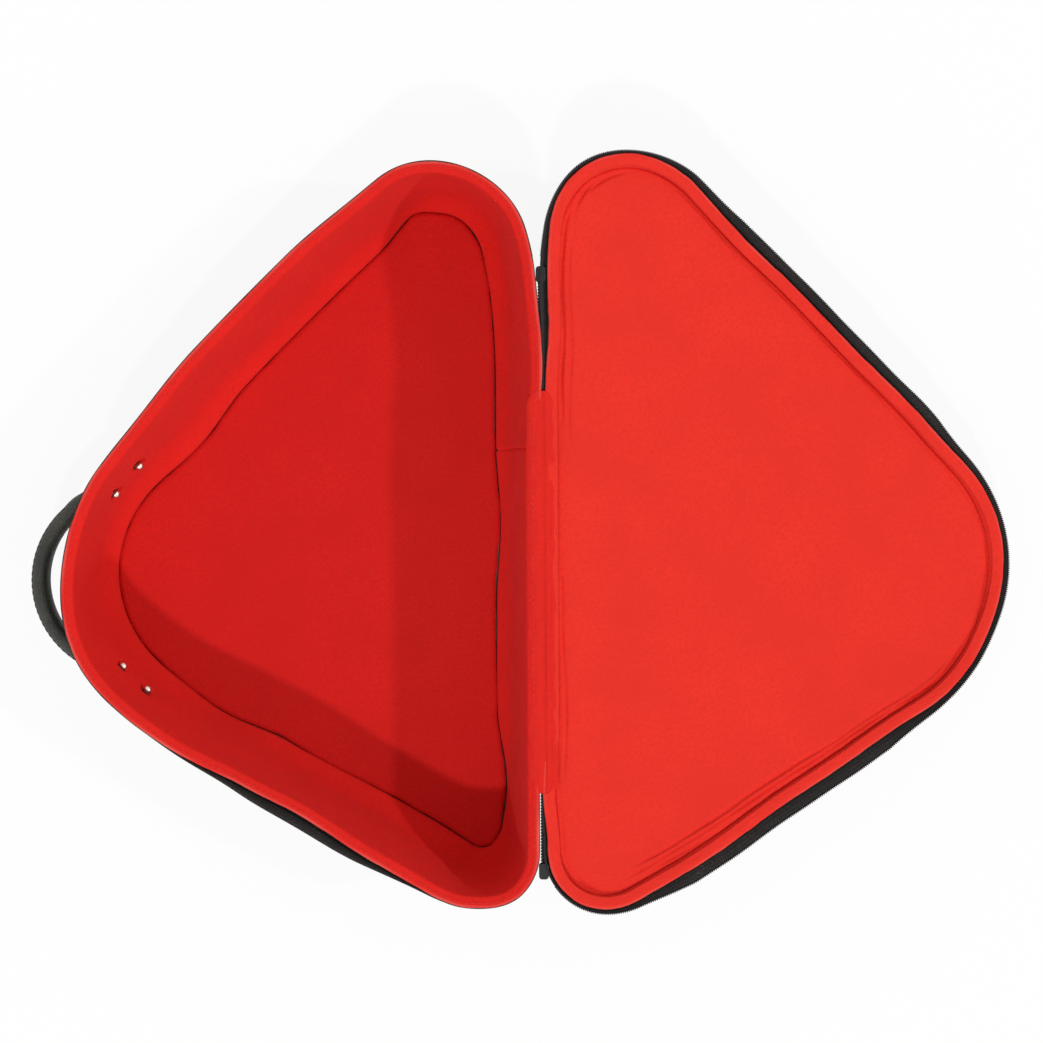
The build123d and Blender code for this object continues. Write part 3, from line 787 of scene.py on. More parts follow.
class Wardrobe:
    """All finishes of the case, built once and handed out by name."""

    def __init__(self) -> None:
        """Builds every material."""
        self.lining = NappedCloth().build("red_lid_lining")
        # Wall and floor use darker copies of the lid's cloth, about 0.92 and 0.78 as bright: painted shade
        # for the dimmer inside of the deep base.
        self.wall_lining_shaded = NappedCloth(srgb(224, 38, 33)).build("red_lining_painted_wall_shade")
        self.floor_lining_shaded = NappedCloth(srgb(207, 34, 31)).build("red_lining_painted_floor_shade")
        self.hinge_lining = NappedCloth(srgb(223, 42, 35)).build("red_hinge_lining")
        self.red_thread = Nylon(srgb(205, 38, 32), 0.6).build("red_thread")
        self.outer = BlackCloth().build("black_cover_cloth")
        self.outer_flat = BlackCloth(flat=True).build("black_cover_cloth_flat")
        self.tape = BlackCloth(srgb(50, 46, 46), pitch=0.0008, weave=Weave.RIBBED).build("zip_tape_cloth")
        self.coil = Nylon().build("zip_nylon")
        self.black_thread = Nylon(srgb(40, 38, 38), 0.7).build("black_thread")
        self.piping = BlackCloth(srgb(38, 36, 37), pitch=0.0007).build("piping_cloth")
        self.leather = Leatherette().build("handle_leatherette")
        self.nickel = Metal(srgb(232, 226, 214), 1.0, 0.28).build("bright_nickel")
        # Dark grey nickel for the washers, for the dark ring round each rivet head.
        self.dark_nickel = Metal(srgb(120, 112, 104), 1.0, 0.42).build("dark_washer")
        self.black_metal = Metal(srgb(38, 38, 40), 0.6, 0.35).build("black_zinc")
        self.board = Pulp(srgb(112, 108, 102), 420.0).build("grey_fibre_board")
        self.foam = Pulp(srgb(196, 192, 186), 900.0).build("light_foam")


def dress(piece: Piece, material: Material) -> None:
    """Gives a piece its one material."""
    piece.data.materials.clear()
    piece.data.materials.append(material)


def dress_nodes(**finishes: Material) -> None:
    """Gives the CAD pieces that stay their finishes."""
    for node, material in finishes.items():
        dress(bpy.data.objects[node], material)


def place_piece(piece: Piece, material: Material, body: str, slot: Slot, *nodes: str) -> None:
    """Dresses a piece, lets it ride on a body and hides the CAD nodes that it stands for.

    Args:
        piece: The finished piece.
        material: Its material.
        body: The body that it moves with.
        slot: The record's material slot; not used.
        nodes: CAD nodes that it replaces.
    """
    dress(piece, material)
    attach(piece, body)
    if nodes:
        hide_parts(*nodes)
    LOG.info("%s rides on %s", piece.name, body)


class GeometryTree(NodeGraph):
    """A Geometry Nodes tree that sets small forms along a path and ends as plain mesh."""

    def __init__(self, name: str) -> None:
        """Starts a tree of that name with its path, set upright, and its output."""
        super().__init__(bpy.data.node_groups.new(name, "GeometryNodeTree"))
        for word, way in (("Path", "INPUT"), ("Result", "OUTPUT")):
            self.tree.interface.new_socket(word, in_out=way, socket_type="NodeSocketGeometry")
        self.entry = self.add("NodeGroupInput")
        self.path = self.result(
            "GeometryNodeSetCurveNormal", {"Curve": self.entry.outputs["Path"]}, mode="Z_UP"
        )

    def number(self, name: str, millimetres: float) -> Socket:
        """Adds a named number input with its usual size."""
        socket = self.tree.interface.new_socket(name, in_out="INPUT", socket_type="NodeSocketFloat")
        socket.default_value = millimetres * MM
        return self.entry.outputs[name]

    def bead(self, length: Socket, width: Socket, height: Socket, segments: int, rings: int) -> Socket:
        """A stretched ball: long in Z, wide in Y and high in X before it is set along the path."""
        sizes = {"Segments": segments, "Rings": rings, "Radius": 0.5}
        ball = self.result("GeometryNodeMeshUVSphere", sizes)
        size = self.result("ShaderNodeCombineXYZ", {"X": height, "Y": width, "Z": length})
        return self.result("GeometryNodeTransform", {"Geometry": ball, "Scale": size})

    def along(self, form: Socket, spacing: Socket, tilt: float) -> Socket:
        """Sets a form at even steps along the path, each turned by a tilt in degrees."""
        steps = {"Curve": self.path, "Length": spacing}
        points = self.add("GeometryNodeCurveToPoints", steps, mode="LENGTH").outputs
        turns = {"Rotation": points["Rotation"], "Rotate By": (math.radians(tilt), 0.0, 0.0)}
        turn = self.result("FunctionNodeRotateRotation", turns, rotation_space="LOCAL")
        placed = {"Points": points["Points"], "Instance": form, "Rotation": turn}
        return self.result("GeometryNodeInstanceOnPoints", placed)

    def end(self, geometry: Socket, material: Material) -> bpy.types.NodeTree:
        """Makes the instances real, sets their material and closes the tree."""
        for kind in ("RealizeInstances", "SetShadeSmooth"):
            geometry = self.result("GeometryNode" + kind, {"Geometry": geometry})
        painted = self.result("GeometryNodeSetMaterial", {"Geometry": geometry, "Material": material})
        self.add("NodeGroupOutput", {"Result": painted})
        return self.tree


def run_tree(
    name: str, tree: bpy.types.NodeTree, path: Array, closed: bool, place: Matrix | None, **inputs: float
) -> Piece:
    """Runs a tree on a path and keeps the result as a plain mesh.

    Args:
        name: Name of the piece.
        tree: The Geometry Nodes tree.
        path: Points of the path.
        closed: Whether the path is a ring.
        place: Turn and shift for the mesh.
        inputs: Values of the tree's named inputs, with underscores for spaces.

    Returns:
        The piece.
    """
    curve = bpy.data.curves.new(name + "_path", "CURVE")
    curve.dimensions = "3D"
    spline = curve.splines.new("POLY")
    spline.points.add(len(path) - 1)
    spline.points.foreach_set("co", np.c_[path, np.ones(len(path))].astype(np.float32).ravel())
    spline.use_cyclic_u = closed
    carrier = bpy.data.objects.new(name + "_path", curve)
    bpy.context.scene.collection.objects.link(carrier)
    modifier = carrier.modifiers.new("repeat", "NODES")
    modifier.node_group = tree
    sockets = (item for item in tree.interface.items_tree if item.in_out == "INPUT")
    identifiers = {item.name: item.identifier for item in sockets}
    for key, value in inputs.items():
        modifier[identifiers[key.replace("_", " ")]] = value
    graph = bpy.context.evaluated_depsgraph_get()
    finished = carrier.evaluated_get(graph)
    mesh = bpy.data.meshes.new_from_object(finished, preserve_all_data_layers=True, depsgraph=graph)
    mesh.name = name
    carrier.modifiers.remove(modifier)
    bpy.data.objects.remove(carrier)
    bpy.data.curves.remove(curve)
    return link_mesh(name, mesh, place)


class Notions:
    """Stitches, zip teeth and piping, each made by its own tree."""

    def __init__(self, wardrobe: Wardrobe) -> None:
        """Builds the trees with their finishes."""
        self.red_stitch = self.stitch_tree("red_stitches", wardrobe.red_thread)
        self.black_stitch = self.stitch_tree("black_stitches", wardrobe.black_thread)
        self.teeth = self.teeth_tree(wardrobe.coil)
        self.bead = self.bead_tree(wardrobe.piping)

    def stitch_tree(self, name: str, thread: Material) -> bpy.types.NodeTree:
        """Tree of one row of stitches along a path."""
        tree = GeometryTree(name)
        spacing, length, thick = (
            tree.number(word, size)
            for word, size in (("Spacing", 4.2), ("Length", 3.2), ("Thickness", 0.7))
        )
        return tree.end(tree.along(tree.bead(length, thick, thick, 6, 5), spacing, 0.0), thread)

    def teeth_tree(self, nylon: Material) -> bpy.types.NodeTree:
        """Tree of a coil's loops: a leg across the tape and a rounder head at its edge."""
        tree = GeometryTree("coil_teeth")
        spacing, leg = tree.number("Spacing", 1.9), tree.number("Leg", 3.0)
        thick = tree.number("Thickness", 1.2)
        across = tree.bead(thick, leg, tree.number("Height", 2.2), 8, 6)
        head = tree.bead(thick, tree.number("Head", 1.5), tree.number("Head Height", 2.6), 6, 5)
        shift = tree.result("ShaderNodeCombineXYZ", {"Y": tree.number("Head Shift", 1.0)})
        moved = tree.result("GeometryNodeTransform", {"Geometry": head, "Translation": shift})
        joined = tree.add("GeometryNodeJoinGeometry")
        for form in (across, moved):
            tree.feed(joined.inputs["Geometry"], form)
        return tree.end(tree.along(joined.outputs["Geometry"], spacing, 14.0), nylon)

    def bead_tree(self, cloth: Material) -> bpy.types.NodeTree:
        """Tree of a round bead along a path."""
        tree = GeometryTree("piping_bead")
        size = {"Resolution": 14, "Radius": tree.number("Radius", 1.8)}
        circle = tree.result("GeometryNodeCurvePrimitiveCircle", size)
        inputs = {"Curve": tree.path, "Profile Curve": circle, "Fill Caps": True}
        return tree.end(tree.result("GeometryNodeCurveToMesh", inputs), cloth)


def tooth(**sizes: float) -> dict[str, float]:
    """Sizes of a zip's teeth, given in millimetres."""
    return {name: size * MM for name, size in sizes.items()}


OPEN_TOOTH = tooth(
    Spacing=1.4, Leg=1.3, Thickness=1.0, Height=1.5, Head=0.9, Head_Height=1.6, Head_Shift=0.4
)
CLOSED_TOOTH = tooth(Leg=1.9, Thickness=2.3, Head_Shift=0.3)


@dataclass
class Half:
    """What base and lid share: layers on one outline, whose depths count inwards from the rim."""

    wardrobe: Wardrobe
    notions: Notions
    place: Matrix | None
    cover: float = 1.0 * MM
    board: float = 3.0 * MM
    lining: float = 3.0 * MM
    rim_gap: float = 0.3 * MM
    binding: float = 1.6 * MM
    tape: float = 0.8 * MM
    piping_radius: float = 1.8 * MM
    piping_rise: float = 2.2 * MM

    body = ""

    def inset(self, z: float, s: Array) -> Array:
        """How far the wall stands in from the rim outline at a height, for each station."""
        raise NotImplementedError

    def skin(self) -> float:
        """Depth of the lining's face under the rim."""
        return self.cover + self.board + self.lining

    def layer(self, depth: float, s: Array, heights: Iterable[float]) -> Profile:
        """Rows at one depth behind the wall's face."""
        return [(depth + self.inset(z, s), z) for z in heights]

    def band(
        self, name: str, ring: Stations, profile: Profile, material: Material, slot: Slot, node: str
    ) -> Piece:
        """Makes a band and places it as the stand-in for one CAD node."""
        piece = make_band(name, ring, profile, self.place)
        place_piece(piece, material, self.body, slot, node)
        return piece

    def bind(self, name: str, ring: Stations, profile: Profile, wear_and_highlight: tuple, finish: tuple) -> None:
        """Makes a rim's binding, pale on some of its rows from a painted highlight with some wear.

        Args:
            name: Name of the piece.
            ring: Where it runs.
            profile: Depth and height of each row.
            wear_and_highlight: The rows with the painted highlight and wear, and how strong it is at each
                of their points, 0 to 1.
            finish: Material of the binding and the CAD node that it replaces.
        """
        material, node = finish
        piece = self.band(name, ring, profile, material, Slot.LINING, node)
        worn_and_lit = np.zeros((len(profile), len(ring.s)))
        worn_and_lit[wear_and_highlight[0]] = wear_and_highlight[1]
        attribute = piece.data.attributes.new("wear_and_highlight", "FLOAT", "POINT")
        attribute.data.foreach_set("value", np.clip(worn_and_lit, 0, 1).ravel().astype(np.float32))

    def cover_side(self, name: str, low: float, high: float, count: int, slack: tuple, node: str) -> None:
        """Black cloth round the outside of the wall.

        Args:
            name: Name of the piece.
            low: Height where it starts.
            high: Height where it ends.
            count: How many rows its face has.
            slack: Height in metres and seed of its unevenness.
            node: CAD node that it replaces.
        """
        ring = OUTLINE.ring(3.0 * MM)
        profile = []
        for z in np.linspace(low, high, count):
            share = (z - low) / (high - low)
            soft = slack[0] * ripple(ring.s, z, 0.06, slack[1]) * math.sin(math.pi * share)
            profile.append((self.inset(z, ring.s) - soft, z))
        profile += self.layer(self.cover, ring.s, np.linspace(high, low, 4))
        self.band(name, ring, profile, self.wardrobe.outer, Slot.OUTER, node)

    def wall_board(self, name: str, ring: Stations, low: float, high: float, node: str) -> None:
        """Grey board between cover and lining, bowed as they are."""
        profile = self.layer(self.cover, ring.s, np.linspace(low, high, 6))
        profile += self.layer(self.cover + self.board, ring.s, np.linspace(high, low, 6))
        self.band(name, ring, profile, self.wardrobe.board, Slot.BOARD, node)

    def pipe(self, name: str, path: Array, node: str) -> None:
        """Covered piping along a ring."""
        piece = run_tree(name, self.notions.bead, path, True, self.place, Radius=self.piping_radius)
        place_piece(piece, self.wardrobe.piping, self.body, Slot.PIPING, node)

    def sew(self, name: str, path: Array) -> None:
        """A row of black stitches on the zip's tape."""
        piece = run_tree(name, self.notions.black_stitch, path, False, self.place)
        place_piece(piece, self.wardrobe.black_thread, self.body, Slot.TAPE)

    def set_teeth(self, name: str, path: Array, node: str) -> None:
        """The zip's open teeth along a path."""
        piece = run_tree(name, self.notions.teeth, path, False, self.place, **OPEN_TOOTH)
        place_piece(piece, self.wardrobe.coil, self.body, Slot.COIL, node)


@dataclass
class Base(Half):
    """The deep half: boards under black cloth, red lining, floor pad, rim and its half of the zip."""

    height: float = 95.0 * MM
    draft: float = 10.0 * MM
    lining_foot: float = 6.0 * MM
    board_low: float = 1.2 * MM
    floor_inset: float = 26.4 * MM
    floor_gap: float = 0.08 * MM
    cove_low: float = 10.6 * MM
    cove: float = 24.0 * MM
    cloth_back: float = 7.0 * MM
    floor_low: float = 5.2 * MM
    floor_rise: float = 6.0 * MM
    floor_centre: tuple[float, float] = (55.0 * MM, -12.0 * MM)
    seam_y: float = 55.0 * MM
    tape_low: float = 13.0 * MM
    tape_high: float = 0.8 * MM
    hinge_low: float = -162.0 * MM
    hinge_high: float = 89.0 * MM
    upper_slider: float = 166.0 * MM
    lower_slider: float = -215.0 * MM
    slider_reach: float = 9.0 * MM
    handle_z: float = 50.0 * MM
    handle_direction: float = 181.8
    rivet_angles: tuple[float, float] = (37.0, 50.5)

    body = "base"

    def inset(self, z: float, s: Array) -> Array:
        """How far the wall stands in from the rim outline at a height, for each station."""
        share = np.clip(z / self.height, 0, 1)
        return self.draft * (1 - share) - bowed(BASE_BOWS, s) * share**1.5

    def rim_top(self) -> float:
        """Height of the rim's upper edge."""
        return self.height - self.rim_gap

    def wall_top(self) -> float:
        """Height where the wall ends under the binding."""
        return self.rim_top() - self.binding

    def handle_inset(self) -> float:
        """How far the plain wall stands in at the handle's height."""
        return self.draft * (1 - self.handle_z / self.height)

    def slope(self) -> float:
        """Lean of the wall, in radians."""
        return math.atan2(self.draft, self.height)

    def wall_place(self, degrees: float) -> Place:
        """Distance, point and direction of the outline as seen from the apex arc's centre.

        Args:
            degrees: Direction from the centre of the apex corner.

        Returns:
            Distance along the outline, x and y there, and the angle of the outward direction.
        """
        apex = OUTLINE.apex_corner
        ray = (math.cos(math.radians(degrees)), math.sin(math.radians(degrees)))
        best = (1e9, 0.0)
        for s in np.arange(0.3, 0.95, 0.0005):
            x, y, _, _ = OUTLINE.locate(float(s))
            turn = abs((x - apex.x) * ray[1] - (y - apex.y) * ray[0])
            ahead = (x - apex.x) * ray[0] + (y - apex.y) * ray[1]
            if ahead > 0 and turn < best[0]:
                best = (turn, float(s))
        x, y, out_x, out_y = OUTLINE.locate(best[1])
        return (best[1], x, y, math.atan2(out_y, out_x))

    def build(self) -> None:
        """Makes every piece of the base."""
        turns = [side * degrees for side in (1, -1) for degrees in self.rivet_angles]
        self.rivets = [self.wall_place(self.handle_direction - turn) for turn in turns]
        low, high = self.board_low, self.wall_top()
        self.wall_board("wall_board", OUTLINE.ring(4.0 * MM), low, high, "base_wall_board")
        self.build_wall_lining()
        self.build_floor()
        self.build_binding()
        low = self.piping_rise + self.piping_radius
        self.cover_side("side_cover", low, high, 20, (0.22 * MM, 31), "base_side_cover")
        path = OUTLINE.ring(4.0 * MM).at(self.draft + 0.7 * MM, self.piping_rise)
        self.pipe("bottom_piping", path, "base_piping")
        self.build_zip()
        cloth, board, nickel = self.wardrobe.outer_flat, self.wardrobe.board, self.wardrobe.dark_nickel
        dress_nodes(base_bottom_cover=cloth, base_bottom_board=board)
        dress_nodes(base_hinge_tape=cloth, rivet_washers=nickel)

    def pucker(self, s: Array, z: float) -> Array:
        """Dimples and short creases that the rivets pull into the lining."""
        lift = np.zeros_like(s)
        for number, (place, _, _, _) in enumerate(self.rivets):
            along, rise = s - place, z - self.handle_z
            lift -= 1.1 * MM * hill(np.hypot(along, rise), 5.0 * MM)
            angle = math.radians(115 + 12 * number)
            run = along * math.cos(angle) + rise * math.sin(angle)
            off = -along * math.sin(angle) + rise * math.cos(angle)
            lift -= 1.5 * MM * hill(off, 1.1 * MM) * window(run, 1.0 * MM, 11.0 * MM, 4.0 * MM)
        return lift

    def build_wall_lining(self) -> None:
        """Red lining of the wall, padded, with a butt seam on the long side and puckers at the rivets."""
        seam, back = OUTLINE.at_hinge(self.seam_y), self.cover + self.board
        fine = [(seam, 6 * MM, 0.5 * MM)] + [(place, 13 * MM, 0.8 * MM) for place, _, _, _ in self.rivets]
        ring = OUTLINE.ring(3.0 * MM, fine)
        low, high = self.floor_low, self.wall_top()
        heights = np.r_[np.arange(36, 64, 0.9) * MM, np.arange(10, 20, 1.2) * MM]
        heights = np.r_[np.linspace(low, high, 26), heights]
        profile = self.layer(back, ring.s, np.linspace(low, high, 5))
        reach = self.floor_line(ring.s) - back - self.lining_foot - self.inset(low, ring.s)
        for z in np.unique(np.round(heights, 6))[::-1]:
            share = (z - low) / (high - low)
            belly = math.sin(math.pi * share)
            thick = self.lining_foot + (self.lining - self.lining_foot) * share
            thick = thick + reach * (1 - np.clip((z - self.cove_low) / self.cove, 0, 1)) ** 2.4
            soft = 0.5 * MM * ripple(ring.s, z, 0.07, 3) * belly**0.5
            soft = soft + 0.25 * MM * ripple(ring.s, z, 0.022, 4) * belly
            groove = -0.8 * MM * hill(ring.s - seam - 0.8 * MM * belly, 0.8 * MM)
            soft = soft + groove + self.pucker(ring.s, float(z))
            profile.append((back + thick + soft + self.inset(z, ring.s), z))
        # The wall lining's cloth is darkened for painted shade inside the base.
        self.band("wall_lining_shaded", ring, profile, self.wardrobe.wall_lining_shaded, Slot.LINING, "base_wall_lining")

    def floor_line(self, s: Array) -> Array:
        """Depth inside the rim where floor and wall cloth meet."""
        return self.floor_inset + bowed(FLOOR_BOWS, s)

    def floor_height(self, depth: float, share: float, ring: Stations, flat: Array) -> Array:
        """Height of the floor cloth over its pad, rolled down at its edge."""
        height = self.floor_low + self.floor_rise + 0.35 * MM * ripple(*flat.T, 0.09, 11)
        if share == 0:
            at_edge = depth - self.floor_inset
            height = height - 2.0 * MM * hill(at_edge, 1.3 * MM, 1.3)
            height = height + 0.25 * MM * ripple(ring.s, 0.0, 0.02, 12) * math.exp(-at_edge / (6 * MM))
        return height

    def foam_height(self, depth: float, share: float, ring: Stations, flat: Array) -> Array:
        """Height of the foam under the floor cloth, a little uneven."""
        return self.cloth_back - 0.3 * MM + 0.15 * MM * ripple(*flat.T, 0.05, 16)

    def build_floor(self) -> None:
        """Red floor cloth over the floor pad, with a dark groove left between it and the wall."""
        ring = OUTLINE.ring(3.0 * MM)
        wobble = 0.9 * MM * ripple(ring.s, 0.0, 0.06, 13) + 0.4 * MM * ripple(ring.s, 0.0, 0.017, 14)
        ring = ring.moved(wobble * 0.6 + self.floor_line(ring.s) - self.floor_inset + self.floor_gap)
        centre = Vector((*self.floor_centre, 0))
        depths = self.floor_inset + np.r_[0, 0.3, 0.7, 1.2, 1.8, 2.6, 3.6, 5.0, 7.0, 9.0] * MM
        back = ring.at(self.floor_inset, self.cloth_back)
        piece = Pad(ring, self.floor_height, centre).make("floor_cloth", depths, 26, back)
        # The floor cloth is darkened for painted shade inside the base.
        place_piece(piece, self.wardrobe.floor_lining_shaded, "base", Slot.LINING, "base_floor_cloth")
        depths = self.floor_inset + np.array([1.0, 1.6]) * MM
        back = ring.at(depths[0], self.floor_low)
        foam = Pad(ring, self.foam_height, centre).make("floor_foam", depths, 4, back)
        place_piece(foam, self.wardrobe.foam, "base", Slot.FOAM, "base_floor_pad")

    def build_binding(self) -> None:
        """Lining cloth turned over the rim, crowned and pale at its outer edge from a painted highlight
        with some wear, with its stitches.
        """
        ring = OUTLINE.ring(2.5 * MM)
        s, width = ring.s, self.skin()
        edge = self.inset(self.height, s)
        low, high = self.wall_top(), self.rim_top()
        puff = 0.12 * MM * ripple(s, 0.0, 0.012, 21) + 0.15 * MM * ripple(s, 0.0, 0.05, 22)
        outer = -0.25 * MM + edge + puff
        profile = [(outer + 0.4 * MM, low), (outer, low + 0.4 * MM), (outer + 0.1 * MM, high - 0.55 * MM)]
        profile += [(outer + 0.45 * MM, high - 0.2 * MM), (outer + 1.0 * MM, high)]
        for share in (0.3, 0.45, 0.6, 0.75, 0.88):
            drop = 1.5 * MM * share**2.2 + 0.15 * MM * ripple(s, share, 0.02, 23) * (share > 0.3)
            profile.append((edge + width * share, high - np.abs(drop)))
        profile += [(edge + width + 0.15 * MM, high - 1.55 * MM), (edge + width + 0.2 * MM, low - 0.3 * MM)]
        covered = window(s, *(OUTLINE.at_hinge(y) for y in (self.hinge_low, self.hinge_high)), 5 * MM)
        # Painted highlight, with some wear, along the rim's outer edge; none where the hinge cloth covers
        # the rim.
        wear_and_highlight = (slice(2, 5), (0.35 + 0.25 * ripple(s, 0.0, 0.04, 24)) * (1 - covered))
        self.bind("rim_binding", ring, profile, wear_and_highlight, (self.wardrobe.wall_lining_shaded, "base_rim_binding"))
        path = ring.at(edge + 3.0 * MM, high)
        stitches = run_tree("rim_stitches", self.notions.red_stitch, path, True, None, Thickness=0.5 * MM)
        place_piece(stitches, self.wardrobe.red_thread, "base", Slot.LINING)

    def build_zip(self) -> None:
        """The base's zip tape with its sewing, and the open teeth between the sliders."""
        ends = OUTLINE.free_sides(self.hinge_high + 0.5 * MM, self.hinge_low - 0.5 * MM)
        run = OUTLINE.stations(*ends, 3.0 * MM)
        low, high = self.height - self.tape_low, self.height - self.tape_high

        def face(z: float) -> Array:
            """Depth of the tape's back, which leans out more towards its loose edge."""
            return self.inset(z, run.s) - BASE_TAPE_LEAN.at(run.s) * ((z - low) / (high - low)) ** 1.3

        ribs = [0.08 * MM * math.sin((z - low) / (1.4 * MM) * math.tau) for z in np.linspace(low, high, 12)]
        profile = [(face(z) - self.tape - rib, z) for z, rib in zip(np.linspace(low, high, 12), ribs)]
        profile += [(face(z) - 0.05 * MM, z) for z in np.linspace(high, low, 6)]
        self.band("base_zip_band", run, profile, self.wardrobe.tape, Slot.TAPE, "base_zip_tape")
        for row, z in enumerate((low + 1.6 * MM, low + 5.0 * MM)):
            self.sew(f"base_zip_stitches_{row}", run.at(face(z) - self.tape - 0.05 * MM, z))
        reach = self.slider_reach
        ends = OUTLINE.free_sides(self.upper_slider + reach, self.lower_slider - reach)
        run = OUTLINE.stations(*ends, 3.0 * MM)
        depth = self.inset(self.height, run.s) - self.tape + 0.6 * MM - BASE_TAPE_LEAN.at(run.s)
        self.set_teeth("base_zip_teeth", run.at(depth, self.height - 2.6 * MM), "base_zip_coil")


@dataclass
class Lid(Half):
    """The shallow half, shaped closed over the base and then turned open with the hinge."""

    rim: float = 95.0 * MM
    height: float = 42.0 * MM
    draft: float = 6.0 * MM
    crown: float = 1.2 * MM
    recess: float = 5.2 * MM
    panel_inset: float = 7.3 * MM
    panel_back: float = 37.8 * MM
    panel_centre: tuple[float, float] = (45.0 * MM, -12.0 * MM)
    tape_rise: float = 9.0 * MM
    tape_low: float = 1.8 * MM
    corner_flare: float = 2.2 * MM
    root_flare: float = 1.0 * MM
    hinge_low: float = -162.5 * MM
    hinge_high: float = 89.5 * MM
    teeth_start: float = 86 * MM
    teeth_end: float = 62 * MM

    body = "lid"

    def inset(self, z: float, s: Array) -> Array:
        """How far the closed lid's wall stands in at a height, for each station."""
        share = np.clip((z - self.rim) / self.height, 0, 1)
        return self.draft * share - bowed(LID_BOWS, s) * (1 - share) ** 1.5

    def build(self) -> None:
        """Makes every piece of the lid."""
        self.build_panel()
        self.build_binding()
        self.build_walls()
        z = self.rim + self.height - self.piping_rise
        ring = OUTLINE.ring(4.0 * MM)
        self.pipe("crown_piping", ring.at(self.inset(z, ring.s) + 0.7 * MM, z), "lid_piping")
        self.build_zip()
        cloth, board, foam = self.wardrobe.outer_flat, self.wardrobe.board, self.wardrobe.foam
        dress_nodes(lid_crown_cover=cloth, lid_crown_board=board, lid_panel_pad=foam, lid_hinge_tape=cloth)

    def panel_height(self, depth: float, share: float, ring: Stations, flat: Array) -> Array:
        """Height of the panel cloth's face, which looks down while the lid is closed."""
        height = self.rim + self.recess - 0.3 * MM * ripple(*flat.T, 0.12, 51)
        if share == 0:
            at_edge = depth - self.panel_inset
            swell = 0.8 * MM * hill(at_edge - 9 * MM, 9 * MM)
            crumple = 0.2 * MM * ripple(ring.s, depth, 0.014, 52) * math.exp(-at_edge / (9 * MM))
            lift = sum(crease.lift(ring.s, depth) for crease in PANEL_CREASES) + crumple
            height = height + 0.9 * MM * hill(at_edge, 0.8 * MM, 1.2) - swell - lift
        return height

    def build_panel(self) -> None:
        """Padded red panel that fills the lid, with its wrinkles."""
        plain = OUTLINE.ring(2.2 * MM)
        ring = plain.moved(self.inset(self.rim + self.recess, plain.s))
        depths = self.panel_inset + np.r_[0, np.arange(0.3, 16.0, 0.5), 17, 19, 22, 25] * MM
        top = self.rim + self.panel_back
        back = plain.at(self.inset(top, plain.s) + self.skin() + 0.3 * MM, top)
        pad = Pad(ring, self.panel_height, Vector((*self.panel_centre, 0)), False, self.place)
        piece = pad.make("lid_panel", depths, 22, back)
        place_piece(piece, self.wardrobe.lining, "lid", Slot.LINING, "lid_panel_cloth")

    def build_binding(self) -> None:
        """Lining cloth rolled over the lid's rim."""
        ring = OUTLINE.ring(2.5 * MM)
        s, width = ring.s, self.skin() + 0.6 * MM
        edge = self.inset(self.rim, s)
        low, high = self.rim + self.rim_gap, self.rim + self.rim_gap + self.binding
        puff = 0.15 * MM * ripple(s, 0.0, 0.014, 61) + 0.2 * MM * ripple(s, 0.0, 0.06, 62)
        outer = -0.2 * MM + edge + puff
        profile = [(edge + width, high), (edge + width + 0.2 * MM, low + 0.9 * MM)]
        for share in (0.9, 0.78, 0.64, 0.5, 0.36, 0.24):
            dip = 2.2 * MM * max(0.0, share - 0.3) ** 1.6 + 0.18 * MM * ripple(s, share, 0.02, 63)
            profile.append((edge + width * share, low + np.abs(dip)))
        profile += [(outer + 1.0 * MM, low + 0.1 * MM), (outer + 0.4 * MM, low + 0.3 * MM)]
        profile += [(outer + 0.05 * MM, low + 0.7 * MM), (outer, high - 0.3 * MM), (outer + 0.4 * MM, high)]
        # Painted highlight, with some wear, along the lid rim's outer edge.
        wear_and_highlight = (slice(8, 11), 0.18 + 0.18 * ripple(s, 0.0, 0.05, 64))
        self.bind("lid_binding", ring, profile, wear_and_highlight, (self.wardrobe.lining, "lid_rim_binding"))

    def build_walls(self) -> None:
        """Black cloth outside the lid's wall, the red lining inside it and the board between."""
        ring = OUTLINE.ring(3.0 * MM)
        low, crown = self.rim + self.rim_gap + self.binding, self.rim + self.height
        high = crown - self.piping_rise - self.piping_radius
        self.cover_side("lid_side_cloth", low, high, 12, (0.2 * MM, 71), "lid_side_cover")
        top = self.rim + self.panel_back
        profile = self.layer(self.cover + self.board, ring.s, np.linspace(low, top, 4))
        profile += self.layer(self.skin(), ring.s, np.linspace(top, low, 8))
        self.band("lid_wall_cloth", ring, profile, self.wardrobe.lining, Slot.LINING, "lid_wall_lining")
        self.wall_board("lid_board", ring, low, crown - self.crown, "lid_wall_board")

